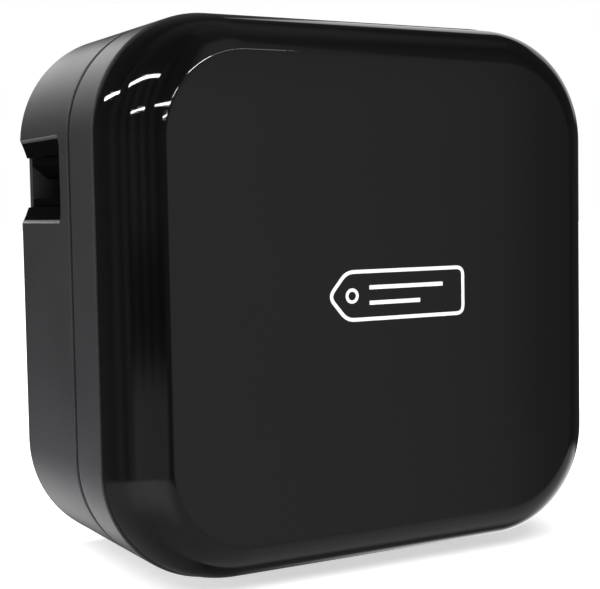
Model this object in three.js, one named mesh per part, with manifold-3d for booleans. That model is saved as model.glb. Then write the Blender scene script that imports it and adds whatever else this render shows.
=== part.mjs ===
// Cube-shaped desktop label printer, in millimetres.
// +X is to the right seen from the front, the glossy front faces -Y, and +Z is up.
// The origin is on the surface it stands on, under the middle of the printer.
import * as THREE from 'three';
import { mergeVertices } from 'three/addons/utils/BufferGeometryUtils.js';
import Module from 'manifold-3d';

const wasm = await Module();
wasm.setup();

// ---- driving dimensions ----
const WIDTH = 128;
const HEIGHT = 128;
const DEPTH = 67;
const FOOT_LIFT = 0.6;                        // the rubber feet hold the casing this far up
const GAP = 0.3;                              // between parts that touch
const PAST = 1;                               // a cutting shape runs this far past the face it cuts
const BITE = 0.2;                             // two shapes of one piece overlap by this much where they join
const WALL = 2.0;                             // rear shell and door
const COVER_WALL = 2.2;
const CORNER_R = 27.5;                        // corner radius seen from the front

const HALF_W = WIDTH / 2;
const HALF_H = (HEIGHT - FOOT_LIFT) / 2;
const MID_Z = FOOT_LIFT + HALF_H;
const FRONT_Y = -DEPTH / 2;
const BACK_Y = DEPTH / 2;

// front cover: a flat panel, a crease, and a bevel that rolls back to the band
const PANEL_INSET = 10.1;                     // crease to the casing's side
const PANEL_R = 19.2;
const RIM_INSET = 0.5;                        // the band stands this proud of the cover
const BEVEL_DEPTH = 16.9;
const CREASE_SLOPE = 12 * Math.PI / 180;      // the bevel leaves the panel at this angle
const BEVEL_LEAD = 7.0;                       // length of the bevel's handle at the crease
const BEVEL_TAIL = 9.0;                       // and at the rim
const RIM_DRAFT = 3.5 * Math.PI / 180;
const BEVEL_STEPS = 6;
const CORNER_STEPS = 5;                       // curve divisions; each corner gets twice as many sides

// band, seam and rear shell, from front to back
const BAND_Y0 = FRONT_Y + BEVEL_DEPTH + GAP;
const BAND_Y1 = -2.5;
const BAND_WALL = 2.4;
const SHELL_Y0 = -0.8;
const EDGE_ROUND = 0.6;                       // small rounding on the band's and shell's edges
const BACK_ROUND = 1.2;
const PLATE_Y0 = BAND_Y1 + GAP;               // chassis plate, whose edge is the seam's floor
const PLATE_Y1 = SHELL_Y0 - GAP;
const SEAM_DEPTH = 1.5;

// tape exit in the left wall
const EXIT_Y0 = 4.2;
const EXIT_TOP = 102.0;
const EXIT_BOTTOM = 81.7;
const EXIT_THROAT = [85.6, 97.6];             // height range at the wall's inner face
const TAPE_Z = 90;                            // the label strip runs level at this height
const TAPE_Y = [9, 27];                       // an 18 mm wide tape
const TAPE_T = 0.3;

// rear door and its hinge
const DOOR_GAP = 0.4;
const DOOR_HALF_W = HALF_W - WALL - DOOR_GAP;
const DOOR_TOP = HEIGHT - WALL - DOOR_GAP;
const DOOR_BOTTOM = 3.4;
const DOOR_Y0 = BACK_Y - WALL;
const DOOR_Y1 = BACK_Y - 0.1;
const HINGE_Y = 32;
const HINGE_Z = 6.2;
const PIN_R = 0.8;
const PIN_BORE_R = PIN_R + 0.15;
const PIN_HALF_LENGTH = 6.2;
const KNUCKLE_R = 1.5;
const KNUCKLE_X = [24, 30];
const KNUCKLE_MID_X = 27;
const EAR_X = [[20.6, 23.6], [30.4, 33.4]];
const EAR_Y = [30.0, 33.3];
const DOOR_FOOT_HALF_W = 46;                  // below the hinge the door is narrower, clear of the corners
const DOOR_FOOT_TOP = HINGE_Z + 2.6;

// tape bay floor and the three gear levels between it and the chassis plate
const BAY_Y0 = 4.2;
const BAY_Y1 = 5.4;
const LEVEL_1 = [0.3, 1.3];
const LEVEL_2 = [1.6, 2.6];
const LEVEL_3 = [2.9, 3.9];
const GEAR_MODULE = 0.75;
const TOOTH = [[-0.3, -1.2], [-0.1, 0.85], [0.1, 0.85], [0.3, -1.2]];   // [share of the pitch, modules out]

// gear and roller axes, as [x, z]
const FEED_AXIS = [-39, 85.5];
const REDUCTION_AXIS = polarFrom(FEED_AXIS, 15.75, -100);
const MOTOR_AXIS = polarFrom(REDUCTION_AXIS, 18, -60);
const RIBBON_AXIS = polarFrom(FEED_AXIS, 20.25, -20);
const PINCH_AXIS = [-39, 94.5];
const PLATEN_AXIS = [-27, 94.5];
const IDLER_AXIS = [-33, 94.5 + Math.sqrt(9 * 9 - 6 * 6)];
const HOLDER_AXIS = [-12, 103];
const ROLLER_R = 4;

// cassette
const CASSETTE_Y = [5.8, 30.6];
const CASSETTE_SPLIT = 18.2;
const CASSETTE_WALL = 1.3;
const FILM_AXIS = [-22.5, 53];
const ADHESIVE_AXIS = [14, 70];
const SUPPLY_AXIS = [8, 42];

// ---- materials ----
const material = (color, roughness, metalness = 0) =>
  () => new THREE.MeshStandardMaterial({ color, roughness, metalness });
const glossBlack = material(0x0b0b0c, 0.08);
const satinBlack = material(0x232324, 0.55);
const innerBlack = material(0x141415, 0.7);
const seamBlack = material(0x0e0e0f, 0.8);
const rubberBlack = material(0x1a1a1a, 0.9);
const rubberGrey = material(0x3a3a3c, 0.85);
const steel = material(0xb9bcc0, 0.35, 1);
const motorSteel = material(0x9a9da0, 0.3, 1);
const brass = material(0xc9a35a, 0.35, 1);
const aluminium = material(0xa8abad, 0.45, 1);
const ceramicWhite = material(0xd8d4c8, 0.4);
const gearWhite = material(0xdad8d0, 0.5);
const gearBlack = material(0x26262a, 0.5);
const boardGreen = material(0x14532d, 0.5);
const chipBlack = material(0x17181a, 0.4);
const batteryBlue = material(0x2b4a7d, 0.45);
const lensWhite = material(0xdfe4e6, 0.2);
const cassetteGrey = material(0x56585c, 0.5);
const cassetteDark = material(0x2e3034, 0.5);
const tapeWhite = material(0xf2f2ee, 0.35);
const filmClear = material(0xc9d3d8, 0.2);
const ribbonBlack = material(0x0d0d10, 0.3);

// ---- shape helpers ----
function polarFrom([x, z], distance, degrees) {
  const a = degrees * Math.PI / 180;
  return [x + distance * Math.cos(a), z + distance * Math.sin(a)];
}

function solid(geometry) {
  const bare = geometry.clone();
  bare.deleteAttribute('normal');
  bare.deleteAttribute('uv');
  const merged = mergeVertices(bare, 1e-5);
  const mesh = new wasm.Mesh({
    numProp: 3,
    vertProperties: new Float32Array(merged.attributes.position.array),
    triVerts: new Uint32Array(merged.index.array),
  });
  return new wasm.Manifold(mesh);
}

function geometryOf(manifold) {
  const { vertProperties, triVerts } = manifold.getMesh();
  const geometry = new THREE.BufferGeometry();
  geometry.setAttribute('position', new THREE.BufferAttribute(new Float32Array(vertProperties), 3));
  geometry.setIndex(new THREE.BufferAttribute(new Uint32Array(triVerts), 1));
  geometry.computeVertexNormals();
  return geometry;
}

const joined = (first, ...rest) => rest.reduce((sum, next) => sum.add(next), first);
const without = (first, ...rest) => rest.reduce((left, next) => left.subtract(next), first);

// Rounded rectangle in the X-Z plane, centred on x = 0 and the given height.
function roundedOutline(halfW, halfH, radius, centreZ = MID_Z) {
  const x = halfW - radius;
  const z = halfH - radius;
  const shape = new THREE.Shape();
  shape.absarc(x, centreZ + z, radius, 0, Math.PI / 2);
  shape.absarc(-x, centreZ + z, radius, Math.PI / 2, Math.PI);
  shape.absarc(-x, centreZ - z, radius, Math.PI, Math.PI * 1.5);
  shape.absarc(x, centreZ - z, radius, Math.PI * 1.5, Math.PI * 2);
  shape.closePath();
  return shape;
}

function polygon(points) {
  return new THREE.Shape(points.map(([x, z]) => new THREE.Vector2(x, z)));
}

// Extrudes an X-Z shape along Y, from y0 to y1.
function alongY(shape, y0, y1, steps = 1, curveSegments = CORNER_STEPS) {
  const geometry = new THREE.ExtrudeGeometry(shape, {
    depth: y1 - y0, steps, bevelEnabled: false, curveSegments,
  });
  return geometry.rotateX(Math.PI / 2).translate(0, y1, 0);
}

// Extrudes a Y-Z shape along X, from x0 to x1.
function alongX(shape, x0, x1, curveSegments = CORNER_STEPS) {
  const geometry = new THREE.ExtrudeGeometry(shape, {
    depth: x1 - x0, bevelEnabled: false, curveSegments,
  });
  return geometry.applyMatrix4(new THREE.Matrix4().set(0, 0, 1, x0, 1, 0, 0, 0, 0, 1, 0, 0, 0, 0, 0, 1));
}

function box(x0, x1, y0, y1, z0, z1) {
  return new THREE.BoxGeometry(x1 - x0, y1 - y0, z1 - z0)
    .translate((x0 + x1) / 2, (y0 + y1) / 2, (z0 + z1) / 2);
}

const block = (...limits) => solid(box(...limits));

// Cylinders along each axis, from one end to the other.
function rodY([x, z], radius, y0, y1, sides = 16) {
  return new THREE.CylinderGeometry(radius, radius, y1 - y0, sides).translate(x, (y0 + y1) / 2, z);
}

function rodX([y, z], radius, x0, x1, sides = 16) {
  return new THREE.CylinderGeometry(radius, radius, x1 - x0, sides)
    .rotateZ(Math.PI / 2).translate((x0 + x1) / 2, y, z);
}

function rodZ([x, y], radius, z0, z1, sides = 20) {
  return new THREE.CylinderGeometry(radius, radius, z1 - z0, sides)
    .rotateX(Math.PI / 2).translate(x, y, (z0 + z1) / 2);
}

// A hollow roll or roller about an axis along Y.
function sleeveY([x, z], outer, inner, y0, y1, sides = 20) {
  const profile = [[inner, y0], [outer, y0], [outer, y1], [inner, y1], [inner, y0]];
  const points = profile.map(([r, y]) => new THREE.Vector2(r, y));
  return new THREE.LatheGeometry(points, sides).translate(x, 0, z);
}

// A casing skin: the outline at each depth is inset to its own half-size and corner radius.
function skin(rows) {
  const depth = rows.at(-1).y - rows[0].y;
  const steps = rows.length - 1;
  const base = rows[0];
  const geometry = alongY(roundedOutline(base.halfW, base.halfH, base.r), 0, depth, steps);
  const position = geometry.attributes.position;
  for (let i = 0; i < position.count; i += 1) {
    const row = rows[Math.round(position.getY(i) / depth * steps)];
    const x = position.getX(i);
    const z = position.getZ(i) - MID_Z;
    const coreX = THREE.MathUtils.clamp(x, base.r - base.halfW, base.halfW - base.r);
    const coreZ = THREE.MathUtils.clamp(z, base.r - base.halfH, base.halfH - base.r);
    const newX = coreX * (row.halfW - row.r) / (base.halfW - base.r) + (x - coreX) * row.r / base.r;
    const newZ = coreZ * (row.halfH - row.r) / (base.halfH - base.r) + (z - coreZ) * row.r / base.r;
    position.setXYZ(i, newX, row.y, newZ + MID_Z);
  }
  return geometry;
}

const ringRow = (y, inset, r = CORNER_R - inset) => ({ y, halfW: HALF_W - inset, halfH: HALF_H - inset, r });

// Spur gear blank with straight-sided teeth about an axis along Y, one tooth centred on `phase`.
function gear([x, z], teeth, y0, y1, phase = 0, gearModule = GEAR_MODULE) {
  const pitchR = gearModule * teeth / 2;
  const pitch = Math.PI * 2 / teeth;
  const points = [];
  for (let tooth = 0; tooth < teeth; tooth += 1) {
    for (const [turn, rise] of TOOTH) {
      const a = phase + (tooth + turn) * pitch;
      const r = pitchR + rise * gearModule;
      points.push([x + r * Math.cos(a), z + r * Math.sin(a)]);
    }
  }
  return solid(alongY(polygon(points), y0, y1));
}

// Phase that puts a gear in mesh with its partner, given both axes, sizes and the partner's phase.
function meshPhase([ax, az], teethA, phaseA, [bx, bz], teethB) {
  const towards = Math.atan2(bz - az, bx - ax);
  const pitchA = Math.PI * 2 / teethA;
  const offsetA = (phaseA - towards) - pitchA * Math.round((phaseA - towards) / pitchA);
  const offsetB = -(teethA * offsetA + Math.PI) / teethB;
  return towards + Math.PI + offsetB;
}

const assembly = new THREE.Group();

function place(name, shape, makeMaterial) {
  const geometry = shape.isBufferGeometry ? shape : geometryOf(shape);
  const mesh = new THREE.Mesh(geometry, makeMaterial());
  mesh.name = name;
  assembly.add(mesh);
}

// ---- casing ----
function bevelRows(inset) {
  const halfP = HALF_W - PANEL_INSET;
  const halfR = HALF_W - RIM_INSET;
  const crease = new THREE.Vector2(halfP, FRONT_Y);
  const rim = new THREE.Vector2(halfR, FRONT_Y + BEVEL_DEPTH);
  const lead = new THREE.Vector2(Math.cos(CREASE_SLOPE), Math.sin(CREASE_SLOPE)).multiplyScalar(BEVEL_LEAD);
  const tail = new THREE.Vector2(-Math.sin(RIM_DRAFT), -Math.cos(RIM_DRAFT)).multiplyScalar(BEVEL_TAIL);
  const curve = new THREE.CubicBezierCurve(crease, crease.clone().add(lead), rim.clone().add(tail), rim);
  return curve.getPoints(BEVEL_STEPS).map((point) => {
    const share = (point.x - halfP) / (halfR - halfP);
    const r = THREE.MathUtils.lerp(PANEL_R, CORNER_R - RIM_INSET, share) - inset;
    const y = inset ? Math.max(point.y, FRONT_Y + inset) : point.y;
    return { y, halfW: point.x - inset, halfH: point.x - (HALF_W - HALF_H) - inset, r };
  });
}

function frontCover() {
  const inside = bevelRows(COVER_WALL);
  const flatRows = inside.filter((row) => row.y > FRONT_Y + COVER_WALL);
  const deepest = { ...inside[0], y: FRONT_Y + COVER_WALL };
  const mouth = { ...inside.at(-1), y: FRONT_Y + BEVEL_DEPTH + PAST };
  return without(solid(skin(bevelRows(0))), solid(skin([deepest, ...flatRows, mouth])));
}

function roundedRing(y0, y1, wall, frontRound, backRound) {
  const outer = [
    ringRow(y0, frontRound), ringRow(y0 + frontRound, 0),
    ringRow(y1 - backRound, 0), ringRow(y1, backRound),
  ];
  const inner = [ringRow(y0 - PAST, wall), ringRow(y1 + PAST, wall)];
  return without(solid(skin(outer)), solid(skin(inner)));
}

const FRONT_FOOT_Y = -9.2;
const REAR_FOOT_Y = 24;
const FOOT_X = 30;
const FOOT_R = 4.5;
const FOOT_TOP = 1.5;
const BUTTON_Y = -9.2;
const BUTTON_Z = 88;
const BUTTON_R = 4.4;
const POWER_LIGHT_Z = 77;
const BATTERY_LIGHT_Z = 71;
const LIGHT_R = 1.2;
const SOCKET_Z = 56;
const SOCKET_Y = -8.8;
const SOCKET_OPENING = [9.8, 4.0];            // length along Z and height along Y of the hole in the band
const SOCKET_SHELL = [9.0, 3.2];
const SOCKET_MOUTH = [8.4, 2.6];
const SIDE_INNER_X = HALF_W - BAND_WALL;

function footPocket(x, y) {
  return solid(rodZ([x, y], FOOT_R + GAP, FOOT_LIFT - PAST, FOOT_TOP + GAP));
}

function slotShape(y, z, length, height) {
  const half = (length - height) / 2;
  const shape = new THREE.Shape();
  shape.absarc(y, z + half, height / 2, 0, Math.PI);
  shape.absarc(y, z - half, height / 2, Math.PI, Math.PI * 2);
  shape.closePath();
  return shape;
}

function middleFrame() {
  const through = [SIDE_INNER_X - PAST, HALF_W + PAST];
  return without(
    roundedRing(BAND_Y0, BAND_Y1, BAND_WALL, EDGE_ROUND, EDGE_ROUND),
    footPocket(-FOOT_X, FRONT_FOOT_Y), footPocket(FOOT_X, FRONT_FOOT_Y),
    solid(rodX([BUTTON_Y, BUTTON_Z], BUTTON_R + GAP, ...through, 20)),
    solid(rodX([BUTTON_Y, POWER_LIGHT_Z], LIGHT_R + GAP, ...through, 10)),
    solid(rodX([BUTTON_Y, BATTERY_LIGHT_Z], LIGHT_R + GAP, ...through, 10)),
    solid(alongX(slotShape(SOCKET_Y, SOCKET_Z, ...SOCKET_OPENING), ...through)),
  );
}

function exitCut() {
  const [low, high] = EXIT_THROAT;
  const outX = -HALF_W - WALL;
  const inX = -HALF_W + WALL;
  const outline = polygon([
    [inX + WALL, low], [inX + WALL, high], [inX, high],
    [outX, 2 * EXIT_TOP - high], [outX, 2 * EXIT_BOTTOM - low], [inX, low],
  ]);
  return solid(alongY(outline, EXIT_Y0, BACK_Y + PAST));
}

function hingeEars() {
  const ears = [];
  for (const side of [-1, 1]) {
    for (const [x0, x1] of EAR_X) {
      const ends = [side * x0, side * x1].sort((a, b) => a - b);
      const ear = block(...ends, ...EAR_Y, FOOT_LIFT + 1, HINGE_Z + 2);
      ears.push(ear.subtract(solid(rodX([HINGE_Y, HINGE_Z], PIN_BORE_R, ends[0] - PAST, ends[1] + PAST, 16))));
    }
  }
  return ears;
}

// Fixed gussets fill the two lower corners beside the narrow foot of the door.
function cornerGussets() {
  const sunk = 0.5;
  const top = HINGE_Z + 1.9;
  const outer = [ringRow(DOOR_Y0 - PAST, sunk), ringRow(BACK_Y - BACK_ROUND, sunk), ringRow(DOOR_Y1, BACK_ROUND)];
  const inside = solid(skin(outer));
  return [-1, 1].map((side) => {
    const ends = [side * (DOOR_FOOT_HALF_W + DOOR_GAP), side * HALF_W].sort((a, b) => a - b);
    return inside.intersect(block(...ends, DOOR_Y0 - BITE, DOOR_Y1, 0, top));
  });
}

function rearShell() {
  const shell = without(
    roundedRing(SHELL_Y0, BACK_Y, WALL, EDGE_ROUND, BACK_ROUND),
    footPocket(-FOOT_X, REAR_FOOT_Y), footPocket(FOOT_X, REAR_FOOT_Y),
    exitCut(),
  );
  return joined(shell, ...hingeEars(), ...cornerGussets());
}

function exitGuide() {
  const [low, high] = EXIT_THROAT;
  const x0 = -HALF_W + WALL + GAP;
  const x1 = -52;
  const slot = 2.4;                           // half the height left open for the tape
  const lip = 2;                              // thickness at the mouth
  const flare = 4;                            // length of the sloping part behind the mouth
  const frontY = EXIT_Y0 + 0.4;
  const frontWall = 1.4;
  const backY = 30.4;
  const lower = polygon([
    [x0, low + GAP], [x1, low + GAP], [x1, TAPE_Z - slot], [x0 + flare, TAPE_Z - slot], [x0, low + lip]]);
  const upper = polygon([
    [x0, high - GAP], [x0, high - lip], [x0 + flare, TAPE_Z + slot], [x1, TAPE_Z + slot], [x1, high - GAP]]);
  return joined(
    solid(alongY(lower, EXIT_Y0 + frontWall, backY)),
    solid(alongY(upper, EXIT_Y0 + frontWall, backY)),
    block(x0, x1, frontY, frontY + frontWall, low + GAP, high - GAP),
  );
}

const LATCH_WINDOW = { halfX: 10, z0: 110, z1: 121 };
const DOOR_RIM = { outer: 1.6, inner: 2.8, depth: 1.4 };   // insets from the door's edge, and how far it stands in
const DOOR_RIM_BREAKS = {                     // where the rim is left out: [x range], [z range]
  exit: [[-HALF_W, -50], [78, 106]],
  hinge: [[-HALF_W, HALF_W], [0, 12]],
  latch: [[-14, 14], [105, HEIGHT]],
};

function tapeDoor() {
  const halfH = (DOOR_TOP - DOOR_BOTTOM) / 2;
  const centreZ = (DOOR_TOP + DOOR_BOTTOM) / 2;
  const radius = CORNER_R - WALL - DOOR_GAP;
  const outline = (inset) => roundedOutline(DOOR_HALF_W - inset, halfH - inset, radius - inset, centreZ);
  const through = [DOOR_Y0 - 2 * PAST, BACK_Y + PAST];
  const rim = without(
    solid(alongY(outline(DOOR_RIM.outer), DOOR_Y0 - DOOR_RIM.depth, DOOR_Y0 + 0.5)),
    solid(alongY(outline(DOOR_RIM.inner), DOOR_Y0 - 2, DOOR_Y0 + 1)),
    ...Object.values(DOOR_RIM_BREAKS).map(([x, z]) => block(...x, DOOR_Y0 - 2, DOOR_Y0, ...z)),
  );
  const { halfX, z0, z1 } = LATCH_WINDOW;
  let door = joined(solid(alongY(outline(0), DOOR_Y0, DOOR_Y1)), rim);
  door = door.subtract(block(-halfX, halfX, DOOR_Y0 - 3, BACK_Y + 1, z0, z1));
  for (const side of [-1, 1]) {
    const at = (x0, x1) => [side * x0, side * x1].sort((a, b) => a - b);
    const [nearEar, farEar] = EAR_X;
    const nearWindow = at(nearEar[0] - DOOR_GAP, nearEar[1] + BITE);
    const farWindow = at(farEar[0] - BITE, farEar[1] + DOOR_GAP);
    const middle = at(nearEar[1] + BITE, farEar[0] - BITE);
    const bore = [side * KNUCKLE_MID_X - 10, side * KNUCKLE_MID_X + 10];
    door = without(
      door,
      block(...nearWindow, DOOR_Y0 - 1, BACK_Y + 1, 0, DOOR_FOOT_TOP),
      block(...farWindow, DOOR_Y0 - 1, BACK_Y + 1, 0, DOOR_FOOT_TOP),
      block(...middle, DOOR_Y0 - 1, BACK_Y + 1, 0, HINGE_Z),
      block(...at(DOOR_FOOT_HALF_W, HALF_W), ...through, 0, DOOR_FOOT_TOP),
    );
    door = joined(door, solid(rodX([HINGE_Y, HINGE_Z], KNUCKLE_R, ...at(...KNUCKLE_X), 14)));
    door = without(door, solid(rodX([HINGE_Y, HINGE_Z], PIN_BORE_R, ...bore, 16)));
  }
  return door;
}

// The tab that a finger pushes, its three grip grooves, and the sprung tooth that holds the door shut.
const LATCH_Z = [112.6, 119.4];
const LATCH_GRIPS = [114.2, 116, 117.8];
const LATCH_TOOTH = [[27.6, 122.2], [29.8, 122.2], [29.8, 124.2], [29.2, 124.2]];   // as [y, z]

function doorLatch() {
  const [bottom, top] = LATCH_Z;
  const gripHalf = 0.35;
  const gripDepth = 0.9;
  const tab = block(-9.4, 9.4, DOOR_Y0 - BITE, BACK_Y - 0.4, bottom, top);
  const grooves = LATCH_GRIPS.map((z) => block(-8, 8, BACK_Y - gripDepth, BACK_Y, z - gripHalf, z + gripHalf));
  const carrier = block(-8, 8, DOOR_Y0 - 1.9, DOOR_Y0 - 0.5, bottom, 124.2);
  const neck = block(-7, 7, DOOR_Y0 - 0.6, DOOR_Y0, bottom + 0.4, top - 0.4);
  const tooth = solid(alongX(polygon(LATCH_TOOTH), -6, 6));
  return joined(without(tab, ...grooves), neck, carrier, tooth);
}

function casing() {
  place('front_cover', frontCover(), glossBlack);
  place('middle_frame', middleFrame(), satinBlack);
  place('rear_shell', rearShell(), satinBlack);
  place('exit_guide', exitGuide(), innerBlack);
  place('tape_door', tapeDoor(), satinBlack);
  place('door_latch', doorLatch(), satinBlack);
  for (const [name, side] of [['left', -1], ['right', 1]]) {
    const middle = side * KNUCKLE_MID_X;
    const pin = rodX([HINGE_Y, HINGE_Z], PIN_R, middle - PIN_HALF_LENGTH, middle + PIN_HALF_LENGTH, 16);
    place(`door_hinge_pin_${name}`, pin, steel);
    place(`foot_front_${name}`, rodZ([side * FOOT_X, FRONT_FOOT_Y], FOOT_R, 0, FOOT_TOP), rubberBlack);
    place(`foot_rear_${name}`, rodZ([side * FOOT_X, REAR_FOOT_Y], FOOT_R, 0, FOOT_TOP), rubberBlack);
  }
}

// ---- controls on the right side ----
const BUTTON_FLANGE = 1.2;                    // the flange inside the wall is this much wider than the button
const BUTTON_STEM_R = 1.5;
const BUTTON_TRAVEL_END = SIDE_INNER_X - 4.1; // inner end of the stem
const SWITCH_X = [50.5, 55.6];

function powerButton() {
  const at = [BUTTON_Y, BUTTON_Z];
  return joined(
    solid(rodX(at, BUTTON_R, SIDE_INNER_X - 0.5, HALF_W - 0.2, 20)),
    solid(rodX(at, BUTTON_R + BUTTON_FLANGE, SIDE_INNER_X - 1.3, SIDE_INNER_X - GAP, 20)),
    solid(rodX(at, BUTTON_STEM_R, BUTTON_TRAVEL_END, SIDE_INNER_X - 1, 10)),
  );
}

function lightPipe(z) {
  const length = 6;
  const flange = 0.8;
  return joined(
    solid(rodX([BUTTON_Y, z], LIGHT_R, SIDE_INNER_X - length, HALF_W - 0.1, 10)),
    solid(rodX([BUTTON_Y, z], LIGHT_R + flange, SIDE_INNER_X - 1.2, SIDE_INNER_X - GAP, 10)),
  );
}

function chargingSocket() {
  const shellX = [56, HALF_W - 0.6];
  const mouthX = [58, HALF_W];
  const tongueX = [57, HALF_W - 1.4];
  const thin = 0.35;
  const wide = 3.2;
  const shell = solid(alongX(slotShape(SOCKET_Y, SOCKET_Z, ...SOCKET_SHELL), ...shellX));
  const mouth = solid(alongX(slotShape(SOCKET_Y, SOCKET_Z, ...SOCKET_MOUTH), ...mouthX));
  const tongue = block(...tongueX, SOCKET_Y - thin, SOCKET_Y + thin, SOCKET_Z - wide, SOCKET_Z + wide);
  return joined(without(shell, mouth), tongue);
}

function powerSwitch() {
  const halfY = 2.6;
  const halfZ = 3;
  return joined(
    block(...SWITCH_X, BUTTON_Y - halfY, BUTTON_Y + halfY, BUTTON_Z - halfZ, BUTTON_Z + halfZ),
    solid(rodX([BUTTON_Y, BUTTON_Z], 1.6, SWITCH_X[1] - BITE, SWITCH_X[1] + 0.8, 16)),
  );
}

function controls() {
  place('power_button', powerButton(), satinBlack);
  place('power_light', lightPipe(POWER_LIGHT_Z), lensWhite);
  place('battery_light', lightPipe(BATTERY_LIGHT_Z), lensWhite);
  place('charging_socket', chargingSocket(), steel);
  place('power_switch', powerSwitch(), chipBlack);
}

// ---- chassis and electronics ----
const SCREW_AT = [[46, 18], [-46, 18], [46, 110], [-54, 104]];
const BOARD = { x0: -18, x1: 53, z0: 49, z1: 115, y0: -13.4, y1: -11.8 };
const BATTERY = { x0: -34, x1: 34, z0: 9, z1: 43, y0: -29.4, y1: -10.4 };

const SCREW_HOLE_R = 1.5;

function chassisPlate() {
  const inset = SEAM_DEPTH;
  const postR = 2.2;
  const motorHoleR = 3.2;
  const { x0, x1, z0, z1, y1 } = BOARD;
  const plate = solid(alongY(
    roundedOutline(HALF_W - inset, HALF_H - inset, CORNER_R - inset), PLATE_Y0, PLATE_Y1));
  const posts = [[x0 + 4, z0 + 4], [x1 - 8, z0 + 4], [x0 + 4, z1 - 4], [x1 - 12, z1 - 6]].map(
    (at) => solid(rodY(at, postR, y1 + GAP, PLATE_Y0 + BITE, 12)));
  const holes = SCREW_AT.map((at) => solid(rodY(at, SCREW_HOLE_R, -3, 1, 12)));
  const motorHole = solid(rodY(MOTOR_AXIS, motorHoleR, -3, 1, 16));
  return without(joined(plate, ...posts), ...holes, motorHole);
}

function battery() {
  const { x0, x1, z0, z1, y0, y1 } = BATTERY;
  const cellR = 9;
  const wrap = 1;
  const cell = (z) => solid(rodX([(y0 + y1) / 2, z], cellR, x0 + wrap, x1 - wrap, 20));
  const core = block(x0, x1, y0 + wrap, y1 - wrap, z0 + 6, z1 - 6);
  return joined(core, cell(z0 + cellR), cell(z1 - cellR));
}

function batteryTray() {
  const { x0, x1, z0, z1, y1 } = BATTERY;
  const t = 1.2;
  const clear = 0.4;
  const out = clear + t;
  const depth = 7;
  const backY = y1 + GAP;
  const back = block(x0 - out, x1 + out, backY, backY + t, z0 - out, z1 + out);
  const hollow = block(x0 - clear, x1 + clear, y1 - depth - PAST, backY + 0.01, z0 - clear, z1 + clear);
  const wallBlock = block(x0 - out, x1 + out, y1 - depth, backY + t, z0 - out, z1 + out);
  return joined(wallBlock.subtract(hollow), back);
}

function mainBoard() {
  const { x0, x1, z0, z1, y0, y1 } = BOARD;
  const board = block(x0, x1, y0, y1, z0, z1);
  const corner = block(x1 - 8, x1 + PAST, y0 - PAST, y1 + PAST, z1 - 10, z1 + PAST);
  const switchNotch = block(50, x1 + PAST, y0 - PAST, y1 + PAST, BUTTON_Z - 4, BUTTON_Z + 4);
  const sockets = [block(-14, -4, y0 - 5, y0 + BITE, 58, 62), block(10, 24, y0 - 4, y0 + BITE, 52, 56)];
  const capacitors = [[-8, 100], [2, 104]].map((at) => solid(rodY(at, 3.1, y0 - 7, y0 + BITE, 16)));
  return joined(without(board, corner, switchNotch), ...sockets, ...capacitors);
}

function feedMotor() {
  const canR = 9.3;
  const canY = [-26, -3.2];
  const bossR = 2.8;
  return joined(
    solid(rodY(MOTOR_AXIS, canR, ...canY, 24)),
    solid(rodY(MOTOR_AXIS, bossR, canY[1] - BITE, -1.9, 16)),
  );
}

function electronics() {
  place('chassis_plate', chassisPlate(), seamBlack);
  place('battery_pack', battery(), batteryBlue);
  place('battery_tray', batteryTray(), innerBlack);
  place('main_board', mainBoard(), boardGreen);
  const boardFace = BOARD.y0 - GAP;
  place('main_processor', box(14, 26, boardFace - 1.3, boardFace, 76, 88), chipBlack);
  place('wireless_module', box(32, 46, boardFace - 2.3, boardFace, 92, 104), aluminium);
  place('feed_motor', feedMotor(), motorSteel);
}

// ---- gear train ----
const PINION_TEETH = 12;
const REDUCTION_TEETH = 36;
const FEED_TEETH = 30;
const RIBBON_TEETH = 24;
const SMALL_TEETH = 12;

const feedPhase = 0;
const reductionSmallPhase = meshPhase(FEED_AXIS, FEED_TEETH, feedPhase, REDUCTION_AXIS, SMALL_TEETH);
const motorPhase = meshPhase(REDUCTION_AXIS, REDUCTION_TEETH, 0, MOTOR_AXIS, PINION_TEETH);
const ribbonPhase = meshPhase(FEED_AXIS, FEED_TEETH, feedPhase, RIBBON_AXIS, RIBBON_TEETH);
const pinchPhase = meshPhase(FEED_AXIS, SMALL_TEETH, feedPhase, PINCH_AXIS, SMALL_TEETH);
const idlerPhase = meshPhase(PINCH_AXIS, SMALL_TEETH, pinchPhase, IDLER_AXIS, SMALL_TEETH);
const platenPhase = meshPhase(IDLER_AXIS, SMALL_TEETH, idlerPhase, PLATEN_AXIS, SMALL_TEETH);

const HUB_R = 2.4;
const SPINDLE_R = 1.5;

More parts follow.
